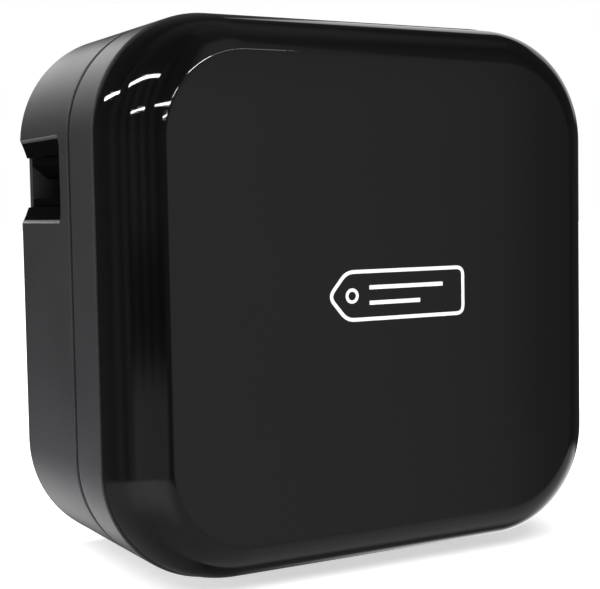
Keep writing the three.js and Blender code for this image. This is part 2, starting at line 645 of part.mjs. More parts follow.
function gearTrain() {
  const pinion = joined(
    gear(MOTOR_AXIS, PINION_TEETH, ...LEVEL_1, motorPhase),
    solid(rodY(MOTOR_AXIS, 1.0, -1.6, 1.2, 12)),
  );
  const reduction = joined(
    gear(REDUCTION_AXIS, REDUCTION_TEETH, ...LEVEL_1, 0),
    solid(rodY(REDUCTION_AXIS, HUB_R, LEVEL_1[0] + BITE, LEVEL_2[0] + BITE, 16)),
    gear(REDUCTION_AXIS, SMALL_TEETH, ...LEVEL_2, reductionSmallPhase),
  );
  const feed = joined(
    gear(FEED_AXIS, FEED_TEETH, ...LEVEL_2, feedPhase),
    solid(rodY(FEED_AXIS, HUB_R, LEVEL_2[0] + BITE, LEVEL_3[0] + BITE, 16)),
    gear(FEED_AXIS, SMALL_TEETH, ...LEVEL_3, feedPhase),
    solid(rodY(FEED_AXIS, SPINDLE_R, LEVEL_2[0], TAPE_Y[1], 12)),
  );
  const ribbon = joined(
    gear(RIBBON_AXIS, RIBBON_TEETH, ...LEVEL_2, ribbonPhase),
    solid(rodY(RIBBON_AXIS, SPINDLE_R, LEVEL_2[0], TAPE_Y[1], 12)),
  );
  place('motor_pinion', pinion, brass);
  place('reduction_gear', reduction, gearWhite);
  place('feed_gear', feed, gearWhite);
  place('ribbon_gear', ribbon, gearBlack);
}

// ---- tape bay and print head ----
const BAY_WALL_Y = [BAY_Y1 - BITE, 14];
const HOLDER_BORE_R = 1.7;
const SPINDLE_BORE_R = 2.0;

function tapeBay() {
  const inset = WALL + 0.6;
  const postR = 3.2;
  const floor = solid(alongY(
    roundedOutline(HALF_W - inset, HALF_H - inset, CORNER_R - inset), BAY_Y0, BAY_Y1));
  const cuts = [
    block(-HALF_W, -51.2, 0, 8, EXIT_THROAT[0] - 0.4, EXIT_THROAT[1] + 0.4),
    block(-46.5, -16.4, 0, 8, 89.9, 111),
    solid(rodY(HOLDER_AXIS, HOLDER_BORE_R, 0, 8, 16)),
    solid(rodY(FEED_AXIS, SPINDLE_BORE_R, 0, 8, 16)),
    solid(rodY(RIBBON_AXIS, SPINDLE_BORE_R, 0, 8, 16)),
    ...SCREW_AT.map((at) => solid(rodY(at, SCREW_HOLE_R, 0, 8, 12))),
  ];
  const posts = SCREW_AT.map((at) => solid(sleeveY(at, postR, SCREW_HOLE_R, SHELL_Y0 + BITE, BAY_Y0 + BITE, 16)));
  const walls = [
    block(-46.2, -45.0, ...BAY_WALL_Y, 40, 81),
    block(-38, 30, ...BAY_WALL_Y, 31.2, 32.4),
    block(36.6, 37.8, ...BAY_WALL_Y, 40, 88),
    block(-10, 32, ...BAY_WALL_Y, 93.1, 94.3),
  ];
  return joined(without(floor, ...cuts), ...posts, ...walls);
}

const HEAD_X = [-32.8, -21.5];

function heatSink() {
  const [x0, x1] = HEAD_X;
  const bar = block(x0, x1, BAY_Y1 + GAP, 29, 84.6, 87.3);
  const grooves = [-30.4, -27.6, -24.8].map((x) => block(x - 0.6, x + 0.6, BAY_Y1 + 2, 30, 84, 86));
  return without(bar, ...grooves);
}

function caseScrew([x, z]) {
  const headY = BAY_Y1 + GAP;
  const slotY = headY + 1;
  const [long, thin] = [1.4, 0.25];
  const shank = solid(rodY([x, z], 1.2, -2.6, 6, 10));
  const head = solid(rodY([x, z], 2.6, headY, headY + 1.6, 14));
  const cross = [[long, thin], [thin, long]].map(
    ([halfX, halfZ]) => block(x - halfX, x + halfX, slotY, 8, z - halfZ, z + halfZ));
  return without(joined(shank, head), ...cross);
}

function bay() {
  place('tape_bay', tapeBay(), innerBlack);
  place('heat_sink', heatSink(), aluminium);
  place('print_head', box(HEAD_X[0], HEAD_X[1], TAPE_Y[0] - 0.5, TAPE_Y[1] + 0.5, 87.6, 89.4), ceramicWhite);
  SCREW_AT.forEach((at, i) => place(`case_screw_${i + 1}`, caseScrew(at), steel));
}

// ---- roller holder ----
const CHEEK = [
  [-43, 91.4], [-23, 91.4], [-17, 97.6], [-9.6, 99.6], [-8.8, 103], [-10, 105.6], [-16, 106.2], [-43, 106.2],
];
const HUB_OUTER_R = 3.2;
const AXLE_R = 1.2;
const AXLE_BORE_R = 1.5;
const ROLLER_Y = [8.5, 27.5];

function rollerHolder() {
  const cheek = polygon(CHEEK);
  const hole = (at, r) => solid(rodY(at, r, 2, 32, 16));
  const cheeks = [[BAY_Y0 + 0.1, BAY_Y1 + BITE], [28.2, 29.4]].map(([y0, y1]) => solid(alongY(cheek, y0, y1)));
  const bridge = block(-42, -14, BAY_Y1, 28.4, 101.2, 103.4);
  const floorClear = block(-17.4, 0, BAY_Y0 - 1, BAY_Y1 + GAP, 90, 110);
  const frontHub = solid(rodY(HOLDER_AXIS, HUB_OUTER_R, BAY_Y1 + GAP + 0.1, 9, 16));
  const backHub = solid(rodY(HOLDER_AXIS, HUB_OUTER_R, 26, 29.4, 16));
  const arms = [[BAY_Y1 + 0.4, 7.4], [26.4, 29.0]].map(([y0, y1]) => block(-18, -11, y0, y1, 101.2, 104.8));
  const stub = solid(rodY(IDLER_AXIS, 0.9, LEVEL_3[0], BAY_Y1, 12));
  const bores = [hole(PINCH_AXIS, AXLE_BORE_R), hole(PLATEN_AXIS, AXLE_BORE_R)];
  const body = without(joined(...cheeks, bridge), floorClear, ...bores);
  return without(joined(body, frontHub, backHub, ...arms, stub), hole(HOLDER_AXIS, HOLDER_BORE_R));
}

function rollerAxle(at, phase) {
  return joined(
    gear(at, SMALL_TEETH, ...LEVEL_3, phase),
    solid(rodY(at, AXLE_R, LEVEL_3[0], 29.8, 16)),
  );
}

function holder() {
  const bore = solid(rodY(IDLER_AXIS, AXLE_R, 0, 6, 16));
  const idler = gear(IDLER_AXIS, SMALL_TEETH, ...LEVEL_3, idlerPhase).subtract(bore);
  place('roller_holder', rollerHolder(), gearBlack);
  place('holder_pivot_pin', rodY(HOLDER_AXIS, 1.4, 1.2, 30, 16), steel);
  place('platen_axle', rollerAxle(PLATEN_AXIS, platenPhase), steel);
  place('platen_roller', sleeveY(PLATEN_AXIS, ROLLER_R, AXLE_BORE_R, ...ROLLER_Y), rubberGrey);
  place('pinch_axle', rollerAxle(PINCH_AXIS, pinchPhase), steel);
  place('pinch_roller', sleeveY(PINCH_AXIS, ROLLER_R, AXLE_BORE_R, ...ROLLER_Y), rubberGrey);
  place('holder_idler_gear', idler, gearWhite);
}

// ---- cutter ----
const BLADE_PIVOT = [8.2, 86];                // as [y, z]
const CUTTER_GEAR_AT = [15.8, 112];
const CUTTER_MODULE = 0.6;
const CUTTER_TEETH = 30;
const CUTTER_PINION_TEETH = 10;
const CUTTER_PINION_AT = polarFrom(CUTTER_GEAR_AT, 12, 35);
const CUTTER_GEAR_X = [-46, -44.6];
const CRANK_RADIUS = 5;                       // the crank pin's distance from the gear's axis
const FIXED_BLADE = [[6, 81.5], [30, 81.5], [30, 88.4], [11, 89.3], [6, 88.6]];   // as [y, z]
const MOVING_BLADE = [
  [6.3, 84.2], [10.0, 84.2], [10.8, 91.6], [27.2, 94.8], [27.8, 97.0], [12.8, 98.0], [10.0, 103.4], [6.3, 103.4],
];
const FIXED_BLADE_X = [-48.9, -47.9];
const MOVING_BLADE_X = [-50.2, -49.2];
const CUTTER_MOTOR_X = [-41.8, -22];

// The same spur gear, turned so that its axis lies along X; its shape is drawn in the Y-Z plane.
function sideGear([y, z], teeth, x0, x1, phase) {
  const flat = geometryOf(gear([0, 0], teeth, 0, x1 - x0, phase, CUTTER_MODULE));
  const turn = new THREE.Matrix4().set(0, 1, 0, x0, 1, 0, 0, y, 0, 0, 1, z, 0, 0, 0, 1);
  flat.applyMatrix4(turn);
  const order = flat.index.array;
  for (let i = 0; i < order.length; i += 3) {
    [order[i + 1], order[i + 2]] = [order[i + 2], order[i + 1]];
  }
  return solid(flat);
}

function cutter() {
  const fixed = without(
    solid(alongX(polygon(FIXED_BLADE), ...FIXED_BLADE_X)),
    solid(rodX(BLADE_PIVOT, AXLE_BORE_R, -50, -47, 16)),
  );
  const moving = without(
    solid(alongX(polygon(MOVING_BLADE), ...MOVING_BLADE_X)),
    solid(rodX(BLADE_PIVOT, AXLE_BORE_R, -51, FIXED_BLADE_X[0], 16)),
  );
  const pin = joined(
    solid(rodX(BLADE_PIVOT, AXLE_R, -51.2, -47.2, 16)),
    solid(rodX(BLADE_PIVOT, 2.0, -51.2, -50.5, 16)),
  );
  const wheel = joined(
    sideGear(CUTTER_GEAR_AT, CUTTER_TEETH, ...CUTTER_GEAR_X, 0),
    solid(rodX([CUTTER_GEAR_AT[0] - CRANK_RADIUS, CUTTER_GEAR_AT[1]], 1.4, -48.2, -45, 10)),
    solid(rodX(CUTTER_GEAR_AT, 1.6, -45, -41, 10)),
  );
  const pinionPhase = meshPhase(CUTTER_GEAR_AT, CUTTER_TEETH, 0, CUTTER_PINION_AT, CUTTER_PINION_TEETH);
  const pinion = joined(
    sideGear(CUTTER_PINION_AT, CUTTER_PINION_TEETH, ...CUTTER_GEAR_X, pinionPhase),
    solid(rodX(CUTTER_PINION_AT, 0.8, -45, -42.2, 12)),
  );
  place('cutter_fixed_blade', fixed, steel);
  place('cutter_moving_blade', moving, steel);
  place('cutter_pivot_pin', pin, steel);
  place('cutter_gear', wheel, gearWhite);
  place('cutter_pinion', pinion, gearBlack);
  place('cutter_motor', rodX(CUTTER_PINION_AT, 4.2, ...CUTTER_MOTOR_X, 24), motorSteel);
}

// ---- tape cassette ----
const CASSETTE_OUTLINE = [
  [-44.4, 33], [36, 33], [36, 92.5], [-14.6, 92.5], [-14.6, 84.2], [-33.7, 84.2], [-33.7, 88.3], [-44.4, 88.3],
];
const CASSETTE_HOLLOW = [
  [-43.1, 34.3], [34.7, 34.3], [34.7, 91.2], [-13.3, 91.2], [-13.3, 82.9], [-32, 82.9], [-32, 79.6], [-43.1, 79.6],
];
const LOWER_FLOOR = CASSETTE_Y[0] + CASSETTE_WALL;
const UPPER_ROOF = CASSETTE_Y[1] - CASSETTE_WALL;
const SPOOL_Y = [LOWER_FLOOR + 0.6, UPPER_ROOF - 0.6];
const POST_R = 2.4;
const CORE_R = 2.9;
const SPINDLE_CORE_R = 1.9;
const FILM_R = 17;
const ADHESIVE_R = 19.5;
const SUPPLY_R = 6.5;

function cassetteHalf(y0, y1, hollow0, hollow1) {
  const shell = without(
    solid(alongY(polygon(CASSETTE_OUTLINE), y0, y1)),
    solid(alongY(polygon(CASSETTE_HOLLOW), hollow0, hollow1)),
  );
  return without(
    shell,
    solid(rodY(FEED_AXIS, ROLLER_R + 0.4, 0, 40, 20)),
    solid(rodY(RIBBON_AXIS, 2.2, 0, 40, 16)),
  );
}

function cassette() {
  const posts = [FILM_AXIS, ADHESIVE_AXIS, SUPPLY_AXIS].map(
    (at) => solid(rodY(at, POST_R, LOWER_FLOOR - 0.2, UPPER_ROOF - GAP, 16)));
  const lower = joined(
    cassetteHalf(CASSETTE_Y[0], CASSETTE_SPLIT, LOWER_FLOOR, CASSETTE_SPLIT + 1), ...posts);
  const upper = cassetteHalf(CASSETTE_SPLIT + GAP, CASSETTE_Y[1], CASSETTE_SPLIT, UPPER_ROOF);
  place('cassette_lower_case', lower, cassetteGrey);
  place('cassette_upper_case', upper, cassetteDark);
  place('film_spool', sleeveY(FILM_AXIS, FILM_R, CORE_R, ...SPOOL_Y, 28), filmClear);
  place('adhesive_spool', sleeveY(ADHESIVE_AXIS, ADHESIVE_R, CORE_R, ...SPOOL_Y, 28), tapeWhite);
  place('ribbon_supply_spool', sleeveY(SUPPLY_AXIS, SUPPLY_R, CORE_R, ...SPOOL_Y, 24), ribbonBlack);
  place('ribbon_takeup_spool', sleeveY(RIBBON_AXIS, ROLLER_R, SPINDLE_CORE_R, ...SPOOL_Y, 24), ribbonBlack);
  place('cassette_feed_roller', sleeveY(FEED_AXIS, ROLLER_R, SPINDLE_CORE_R, ...ROLLER_Y), cassetteDark);
  place('label_strip', box(-46.4, -14.9, ...TAPE_Y, TAPE_Z - TAPE_T / 2, TAPE_Z + TAPE_T / 2), tapeWhite);
}

casing();
controls();
electronics();
gearTrain();
bay();
holder();
cutter();
cassette();

export default assembly;
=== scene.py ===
"""Looks of a cube-shaped desktop label printer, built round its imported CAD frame."""

import math

import bmesh
import bpy
import numpy as np
from bpy.props import FloatProperty, FloatVectorProperty, IntProperty, PointerProperty
from mathutils import Matrix, Vector


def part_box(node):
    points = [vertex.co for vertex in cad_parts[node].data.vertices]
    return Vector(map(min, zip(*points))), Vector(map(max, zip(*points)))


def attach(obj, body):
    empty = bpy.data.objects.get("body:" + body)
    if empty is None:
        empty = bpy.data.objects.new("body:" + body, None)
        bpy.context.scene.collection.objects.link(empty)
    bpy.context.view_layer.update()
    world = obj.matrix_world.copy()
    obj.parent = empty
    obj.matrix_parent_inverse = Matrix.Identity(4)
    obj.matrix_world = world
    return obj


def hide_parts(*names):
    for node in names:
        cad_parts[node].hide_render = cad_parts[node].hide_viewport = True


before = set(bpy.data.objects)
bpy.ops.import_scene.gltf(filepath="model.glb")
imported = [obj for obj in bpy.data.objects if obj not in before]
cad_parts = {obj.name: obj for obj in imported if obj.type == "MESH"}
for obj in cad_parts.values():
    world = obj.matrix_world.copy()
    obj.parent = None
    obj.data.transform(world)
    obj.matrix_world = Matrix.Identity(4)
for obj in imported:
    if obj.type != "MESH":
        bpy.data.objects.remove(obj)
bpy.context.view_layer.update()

bl_info = {
    "name": "Label printer looks",
    "version": (1, 0, 0),
    "blender": (4, 5, 0),
    "location": "3D View > Sidebar > Label printer",
    "description": "Builds the casing, controls, inside and studio of a desktop label printer",
    "category": "Add Mesh",
}

MM = 0.001
BAND_LOW, BAND_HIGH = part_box("middle_frame")
COVER_LOW, COVER_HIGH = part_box("front_cover")
SHELL_LOW, SHELL_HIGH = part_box("rear_shell")
DOOR_LOW, DOOR_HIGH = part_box("tape_door")
HALF_W = (BAND_HIGH.x - BAND_LOW.x) / 2
HALF_H = (BAND_HIGH.z - BAND_LOW.z) / 2
MID_Z = (BAND_HIGH.z + BAND_LOW.z) / 2
FRONT_Y = COVER_LOW.y
BACK_Y = SHELL_HIGH.y
ENDS = ("front", "rear")
SIDES = ("left", "right")


def middle(node):
    """The centre of a CAD node's box, in millimetres."""
    low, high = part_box(node)
    return np.array((low + high) / 2) / MM


HINGE_AXIS = middle("door_hinge_pin_left") * (0, 1, 1)   # a point on the door's hinge, in millimetres


# ---- settings ----
class CasingSettings(bpy.types.PropertyGroup):
    """Sizes of the outer casing."""

    corner_radius: FloatProperty(
        name="Corner radius", description="Radius of the casing's corners seen from the front",
        default=27.5 * MM, min=0.001, unit="LENGTH")
    panel_inset: FloatProperty(
        name="Panel inset", description="Distance from the casing's side to the crease of the flat panel",
        default=10.1 * MM, min=0.001, unit="LENGTH")
    panel_radius: FloatProperty(
        name="Panel radius", description="Corner radius of the flat panel",
        default=19.2 * MM, min=0.001, unit="LENGTH")
    rim_inset: FloatProperty(
        name="Rim inset", description="How far the band stands proud of the cover's rim",
        default=0.5 * MM, min=0.0, unit="LENGTH")
    cover_wall: FloatProperty(
        name="Cover wall", description="Wall thickness of the gloss cover",
        default=2.2 * MM, min=0.0005, unit="LENGTH")
    band_wall: FloatProperty(
        name="Band wall", description="Wall thickness of the satin band",
        default=2.4 * MM, min=0.0005, unit="LENGTH")
    shell_wall: FloatProperty(
        name="Shell wall", description="Wall thickness of the rear shell",
        default=2.0 * MM, min=0.0005, unit="LENGTH")
    edge_round: FloatProperty(
        name="Edge rounding", description="Rounding of the band's and the shell's front edges",
        default=0.6 * MM, min=0.0, unit="LENGTH")
    back_round: FloatProperty(
        name="Back rounding", description="Rounding of the shell's back edge",
        default=1.2 * MM, min=0.0, unit="LENGTH")
    small_edge: FloatProperty(
        name="Small edges", description="Width of the rounding along cut edges",
        default=0.22 * MM, min=0.0, unit="LENGTH")
    corner_steps: IntProperty(
        name="Corner steps", description="Divisions of each corner of the casing",
        default=26, min=4, max=96)


class FinishSettings(bpy.types.PropertyGroup):
    """Colours and roughness of the main finishes."""

    gloss_colour: FloatVectorProperty(
        name="Gloss cover", description="Colour of the gloss cover",
        default=(0.0012, 0.0012, 0.0014), min=0.0, max=1.0, subtype="COLOR")
    gloss_roughness: FloatProperty(
        name="Gloss roughness", description="Roughness of the gloss cover",
        default=0.022, min=0.0, max=1.0, subtype="FACTOR")
    satin_colour: FloatVectorProperty(
        name="Satin body", description="Colour of the band, rear shell and door",
        default=(0.0165, 0.0165, 0.0178), min=0.0, max=1.0, subtype="COLOR")
    satin_roughness: FloatProperty(
        name="Satin roughness", description="Roughness of the band, rear shell and door",
        default=0.44, min=0.0, max=1.0, subtype="FACTOR")
    emblem_colour: FloatVectorProperty(
        name="Emblem", description="Colour of the printed tag on the cover",
        default=(0.9, 0.9, 0.9), min=0.0, max=1.0, subtype="COLOR")


class StudioSettings(bpy.types.PropertyGroup):
    """Camera, floor and lights."""

    camera_place: FloatVectorProperty(
        name="Camera", description="Place of the camera",
        default=(-0.16692, -0.28988, 0.08425), subtype="XYZ", unit="LENGTH")
    yaw: FloatProperty(
        name="Yaw", description="Turn of the camera from +Y towards +X",
        default=math.radians(29.321), subtype="ANGLE")
    pitch: FloatProperty(
        name="Pitch", description="Tilt of the camera above the horizon",
        default=math.radians(-3.691), subtype="ANGLE")
    roll: FloatProperty(
        name="Roll", description="Roll of the camera about its own line of sight",
        default=math.radians(-1.028), subtype="ANGLE")
    lens: FloatProperty(
        name="Lens", description="Focal length on a 36 mm wide sensor",
        default=80.508, min=10.0)
    floor_colour: FloatVectorProperty(
        name="Floor", description="Colour of the floor",
        default=(0.82, 0.82, 0.82), min=0.0, max=1.0, subtype="COLOR")
    key_power: FloatProperty(
        name="Key light", description="Strength of the wide soft light overhead",
        default=3.9, min=0.0)
    bounce_power: FloatProperty(
        name="Floor bounce", description="Strength of the light thrown up from the floor at the left",
        default=1.8, min=0.0)
    rim_power: FloatProperty(
        name="Rim lights", description="Strength of the narrow lights behind the printer",
        default=0.29, min=0.0)
    low_power: FloatProperty(
        name="Low glow", description="Power of the small light by the printer's left foot, in watts",
        default=0.08, min=0.0)
    tube_glow: FloatProperty(
        name="Tubes", description="Brightness of the small ceiling tubes, as the cover mirrors them",
        default=40.0, min=0.0)


# ---- meshes ----
def quads(rows, columns, close_rows=True, close_columns=True):
    """Faces of a grid of points: each joins a point, the next along its row, and the two of the next row."""
    i = np.arange(rows if close_rows else rows - 1)[:, None]
    j = np.arange(columns if close_columns else columns - 1)[None, :]
    right = (j + 1) % columns
    below = (i + 1) % rows
    faces = np.stack(np.broadcast_arrays(i * columns + j, i * columns + right,
                                         below * columns + right, below * columns + j), axis=-1)
    return faces.reshape(-1, 4)


def new_object(name, points, faces):
    """An object at the origin from an array of points and a list of faces, with its doubles merged and its
    normals outward."""
    mesh = bpy.data.meshes.new(name)
    corners = np.asarray(points, float).reshape(-1, 3).tolist()
    mesh.from_pydata(corners, [], [list(map(int, face)) for face in faces])
    work = bmesh.new()
    work.from_mesh(mesh)
    bmesh.ops.remove_doubles(work, verts=work.verts, dist=1e-7)
    bmesh.ops.recalc_face_normals(work, faces=work.faces)
    work.to_mesh(mesh)
    work.free()
    item = bpy.data.objects.new(name, mesh)
    bpy.context.scene.collection.objects.link(item)
    return item


def join_into(target, *others):
    """Adds the other objects' meshes to the target's mesh, in place, and removes them."""
    work = bmesh.new()
    work.from_mesh(target.data)
    for other in others:
        work.from_mesh(other.data)
        bpy.data.objects.remove(other)
    work.to_mesh(target.data)
    work.free()
    return target


def cut(target, cutter, operation="DIFFERENCE"):
    """Takes the cutter's volume from the target, or keeps what they share, and removes the cutter."""
    change = target.modifiers.new("cut", "BOOLEAN")
    change.operation = operation
    change.solver = "EXACT"
    change.object = cutter
    return settle(target, cutter)


def settle(target, *spent):
    """Makes the target's modifiers part of its mesh, and removes the objects they used."""
    graph = bpy.context.evaluated_depsgraph_get()
    made = bpy.data.meshes.new_from_object(target.evaluated_get(graph))
    target.modifiers.clear()
    target.data = made
    for item in spent:
        bpy.data.objects.remove(item)
    return target


def soften(item, width, angle=35, segments=2, weld=False):
    """Rounds an object's sharp edges by the given width, and shades it by the size of its faces."""
    if weld:
        join = item.modifiers.new("weld", "WELD")
        join.merge_threshold = 2e-6
    if width:
        edge = item.modifiers.new("edge", "BEVEL")
        edge.width = width
        edge.segments = segments
        edge.limit_method = "ANGLE"
        edge.angle_limit = math.radians(angle)
        edge.use_clamp_overlap = True
        edge.miter_outer = "MITER_ARC"
    shading = item.modifiers.new("shade", "WEIGHTED_NORMAL")
    shading.keep_sharp = True
    shading.weight = 80
    if not weld:
        item.data.polygons.foreach_set("use_smooth", np.ones(len(item.data.polygons), bool))
    return item


def finished(item, body, material, nodes=()):
    """Gives a piece its material and its body, and hides the CAD nodes it stands for."""
    item.data.materials.clear()
    item.data.materials.append(bpy.data.materials[material])
    if nodes:
        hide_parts(*nodes)
    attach(item, body)
    return item


def perimeter(corner_steps, side_steps=6):
    """Stations round a rounded rectangle: four arcs of directions, with straight runs between their core
    corners. Each row holds the core corner's two signs, or shares between them, and the outward direction."""
    quarter = np.linspace(0, math.pi / 2, corner_steps + 1)
    along = np.linspace(0, 1, side_steps + 1)[1:-1]
    signs = np.array([(1, 1), (-1, 1), (-1, -1), (1, -1)], float)
    rows = []
    for turn in range(4):
        here, following = signs[turn], signs[(turn + 1) % 4]
        angle = turn * math.pi / 2 + quarter
        arc = np.column_stack([np.broadcast_to(here, (len(angle), 2)), np.cos(angle), np.sin(angle)])
        core = here + (following - here) * along[:, None]
        outward = np.broadcast_to((math.cos(angle[-1]), math.sin(angle[-1])), core.shape)
        rows += [arc, np.column_stack([core, outward])]
    return np.vstack(rows)


def outline_grid(stations, half_x, half_z, radius, depth, centre_z):
    """Points of a skin: at each station and each row of the profile, the core corner of that row's half sizes
    less its radius, plus the radius along the station's direction, at that row's depth."""
    half_x, half_z, radius, depth = (np.asarray(v, float)[None, :] for v in (half_x, half_z, radius, depth))
    x = (half_x - radius) * stations[:, 0:1] + radius * stations[:, 2:3]
    z = centre_z + (half_z - radius) * stations[:, 1:2] + radius * stations[:, 3:4]
    return np.stack([x, np.broadcast_to(depth, x.shape), z], axis=-1)


def rounded_loop(points, radius, steps=3, sharp=()):
    """A closed loop of points, with each corner replaced by a quadratic curve that starts and ends radius
    away from it. The sharp ones stay."""
    corner = np.asarray(points, float)
    before = np.roll(corner, 1, axis=0) - corner
    after = np.roll(corner, -1, axis=0) - corner
    lengths = np.linalg.norm(before, axis=1), np.linalg.norm(after, axis=1)
    reach = np.minimum(np.minimum(*lengths) * 0.45, radius)
    reach[list(sharp)] = 0.0
    start = corner + before / lengths[0][:, None] * reach[:, None]
    end = corner + after / lengths[1][:, None] * reach[:, None]
    t = np.linspace(0, 1, steps + 1)[None, :, None]
    curve = (1 - t) ** 2 * start[:, None] + 2 * t * (1 - t) * corner[:, None] + t ** 2 * end[:, None]
    return curve.reshape(-1, 2)


AXES = {
    "X": (np.array([1.0, 0, 0]), np.array([0, 1.0, 0]), np.array([0, 0, 1.0])),
    "Y": (np.array([0, 1.0, 0]), np.array([0, 0, 1.0]), np.array([1.0, 0, 0])),
    "Z": (np.array([0, 0, 1.0]), np.array([1.0, 0, 0]), np.array([0, 1.0, 0])),
}


def lathe(name, axis, centre, profile, rounding=0.0, sides=48, sharp=()):
    """A turned piece. Each point is the centre, plus its height along the axis, plus its radius along a
    direction that goes once round. The profile is a closed loop of (radius, height) in millimetres."""
    along, first, second = AXES[axis]
    loop = rounded_loop(profile, rounding, sharp=sharp) if rounding else np.asarray(profile, float)
    loop = loop * MM
    turn = np.linspace(0, 2 * math.pi, sides, endpoint=False)[:, None, None]
    ring = np.cos(turn) * first + np.sin(turn) * second
    points = np.array(centre) * MM + loop[None, :, 1:2] * along + loop[None, :, 0:1] * ring
    return tidy_poles(new_object(name, points, quads(sides, len(loop))))


def rod(radius, low, high):
    """The profile of a plain solid rod."""
    return [(0, low), (radius, low), (radius, high), (0, high)]


def sleeve(outer, inner, low, high):
    """The profile of a plain sleeve."""
    return [(inner, low), (outer, low), (outer, high), (inner, high)]


def tidy_poles(item):
    """Dissolves faces and edges that have shrunk to nothing where a profile meets its axis."""
    work = bmesh.new()
    work.from_mesh(item.data)
    bmesh.ops.dissolve_degenerate(work, dist=1e-8, edges=work.edges)
    bmesh.ops.recalc_face_normals(work, faces=work.faces)
    work.to_mesh(item.data)
    work.free()
    return item


def prism(name, axis, outline, low, high):
    """A straight prism: the outline at one height along the axis, joined to the same outline at the other.
    The outline is in millimetres in the plane across the axis: (x, z) for Y, and (y, z) for X."""
    flat = np.asarray(outline, float)
    height, first, second = {"X": (0, 1, 2), "Y": (1, 0, 2)}[axis]
    points = np.zeros((2, len(flat), 3))
    points[:, :, first] = flat[:, 0]
    points[:, :, second] = flat[:, 1]
    points[:, :, height] = [[low], [high]]
    return new_object(name, points * MM, capped_tube(2, len(flat)))


def capped_tube(rings, sides):
    """Faces of a tube of rings of points, with its first and last rings filled."""
    last = (rings - 1) * sides
    faces = quads(rings, sides, close_rows=False).tolist()
    return faces + [list(range(sides)), list(range(last, last + sides))]


def block(name, x0, x1, y0, y1, z0, z1):
    """A cutting block between the given limits in millimetres."""
    return prism(name, "Y", [(x0, z0), (x1, z0), (x1, z1), (x0, z1)], y0, y1)


def closed_skin(name, stations, half_x, half_z, radius, depth, centre_z, caps=False):
    """A skin along the perimeter: a closed ring, or, with caps, a solid whose first and last rows are
    filled."""
    points = outline_grid(stations, half_x, half_z, radius, depth, centre_z)
    count, rows = points.shape[:2]
    faces = quads(count, rows, True, not caps).tolist()
    if caps:
        faces.append((np.arange(count) * rows).tolist())
        faces.append((np.arange(count) * rows + rows - 1).tolist())
    return new_object(name, points, faces)


def insets_skin(name, stations, rows, corner, caps=False):
    """A skin whose profile is given as rows of (inset from the casing's side, depth), both in metres."""
    inset, depth = np.asarray(rows, float).T
    return closed_skin(name, stations, HALF_W - inset, HALF_H - inset, corner - inset, depth, MID_Z, caps)


def quarter_arc(centre, radius, start, end, steps):
    """Points on a circle about the centre from one angle to the other, in degrees."""
    angle = np.radians(np.linspace(start, end, steps + 1))
    return np.column_stack([centre[0] + radius * np.cos(angle), centre[1] + radius * np.sin(angle)])


# ---- materials ----
class Sheet:
    """A material's node tree with short calls for the nodes this object uses."""

    def __init__(self, name):
        self.material = bpy.data.materials.new(name)
        self.material.use_nodes = True
        self.tree = self.material.node_tree
        self.tree.nodes.clear()
        self.shader = self.tree.nodes.new("ShaderNodeBsdfPrincipled")
        out = self.tree.nodes.new("ShaderNodeOutputMaterial")
        self.tree.links.new(self.shader.outputs[0], out.inputs[0])

    def add(self, kind, inputs=None, **settings):
        node = self.tree.nodes.new(kind)
        for key, value in settings.items():
            setattr(node, key, value)
        for key, value in (inputs or {}).items():
            if isinstance(value, bpy.types.NodeSocket):
                self.tree.links.new(value, node.inputs[key])
            else:
                node.inputs[key].default_value = value
        return node

    def place(self, scale=(1, 1, 1), centre=(0, 0, 0), turn=(0, 0, 0)):
        """Object coordinates, moved so that centre is the origin, then stretched."""
        coordinate = self.add("ShaderNodeTexCoord").outputs["Object"]
        shift = self.add("ShaderNodeMapping", {"Vector": coordinate, "Location": tuple(-c for c in centre)})
        stretch = {"Vector": shift.outputs[0], "Rotation": turn, "Scale": scale}
        return self.add("ShaderNodeMapping", stretch).outputs[0]

    def noise(self, where, scale, detail=3.0, roughness=0.55, distortion=0.0):
        return self.add("ShaderNodeTexNoise", {
            "Vector": where, "Scale": scale, "Detail": detail, "Roughness": roughness,
            "Distortion": distortion}).outputs["Fac"]

    def cells(self, where, scale, feature="F1"):
        return self.add("ShaderNodeTexVoronoi", {"Vector": where, "Scale": scale},
                        feature=feature).outputs["Distance"]

    def remap(self, value, low, high, start=0.3, stop=0.7):
        return self.add("ShaderNodeMapRange", {
            "Value": value, "From Min": start, "From Max": stop, "To Min": low, "To Max": high}).outputs[0]

    def blend(self, share, first, second):
        node = self.add("ShaderNodeMix", data_type="RGBA")
        self.tree.links.new(share, node.inputs[0])
        for index, value in ((6, first), (7, second)):
            if isinstance(value, bpy.types.NodeSocket):
                self.tree.links.new(value, node.inputs[index])
            else:
                node.inputs[index].default_value = (*value[:3], 1.0)
        return node.outputs[2]

    def bump(self, height, distance, strength=1.0, normal=None):
        node = self.add("ShaderNodeBump", {"Height": height, "Distance": distance, "Strength": strength})
        if normal is not None:
            self.tree.links.new(normal, node.inputs["Normal"])
        return node.outputs[0]

    def math(self, operation, first, second=0.0):
        node = self.add("ShaderNodeMath", operation=operation)
        for index, value in enumerate((first, second)):
            if isinstance(value, bpy.types.NodeSocket):
                self.tree.links.new(value, node.inputs[index])
            else:
                node.inputs[index].default_value = value
        return node.outputs[0]

    def set(self, **values):
        for key, value in values.items():
            socket = self.shader.inputs[key.replace("_", " ")]
            if isinstance(value, bpy.types.NodeSocket):
                self.tree.links.new(value, socket)
            else:
                socket.default_value = value
        return self.material


def shade(colour, factor):
    """The colour made lighter or darker."""
    return tuple(min(1.0, c * factor) for c in colour[:3])


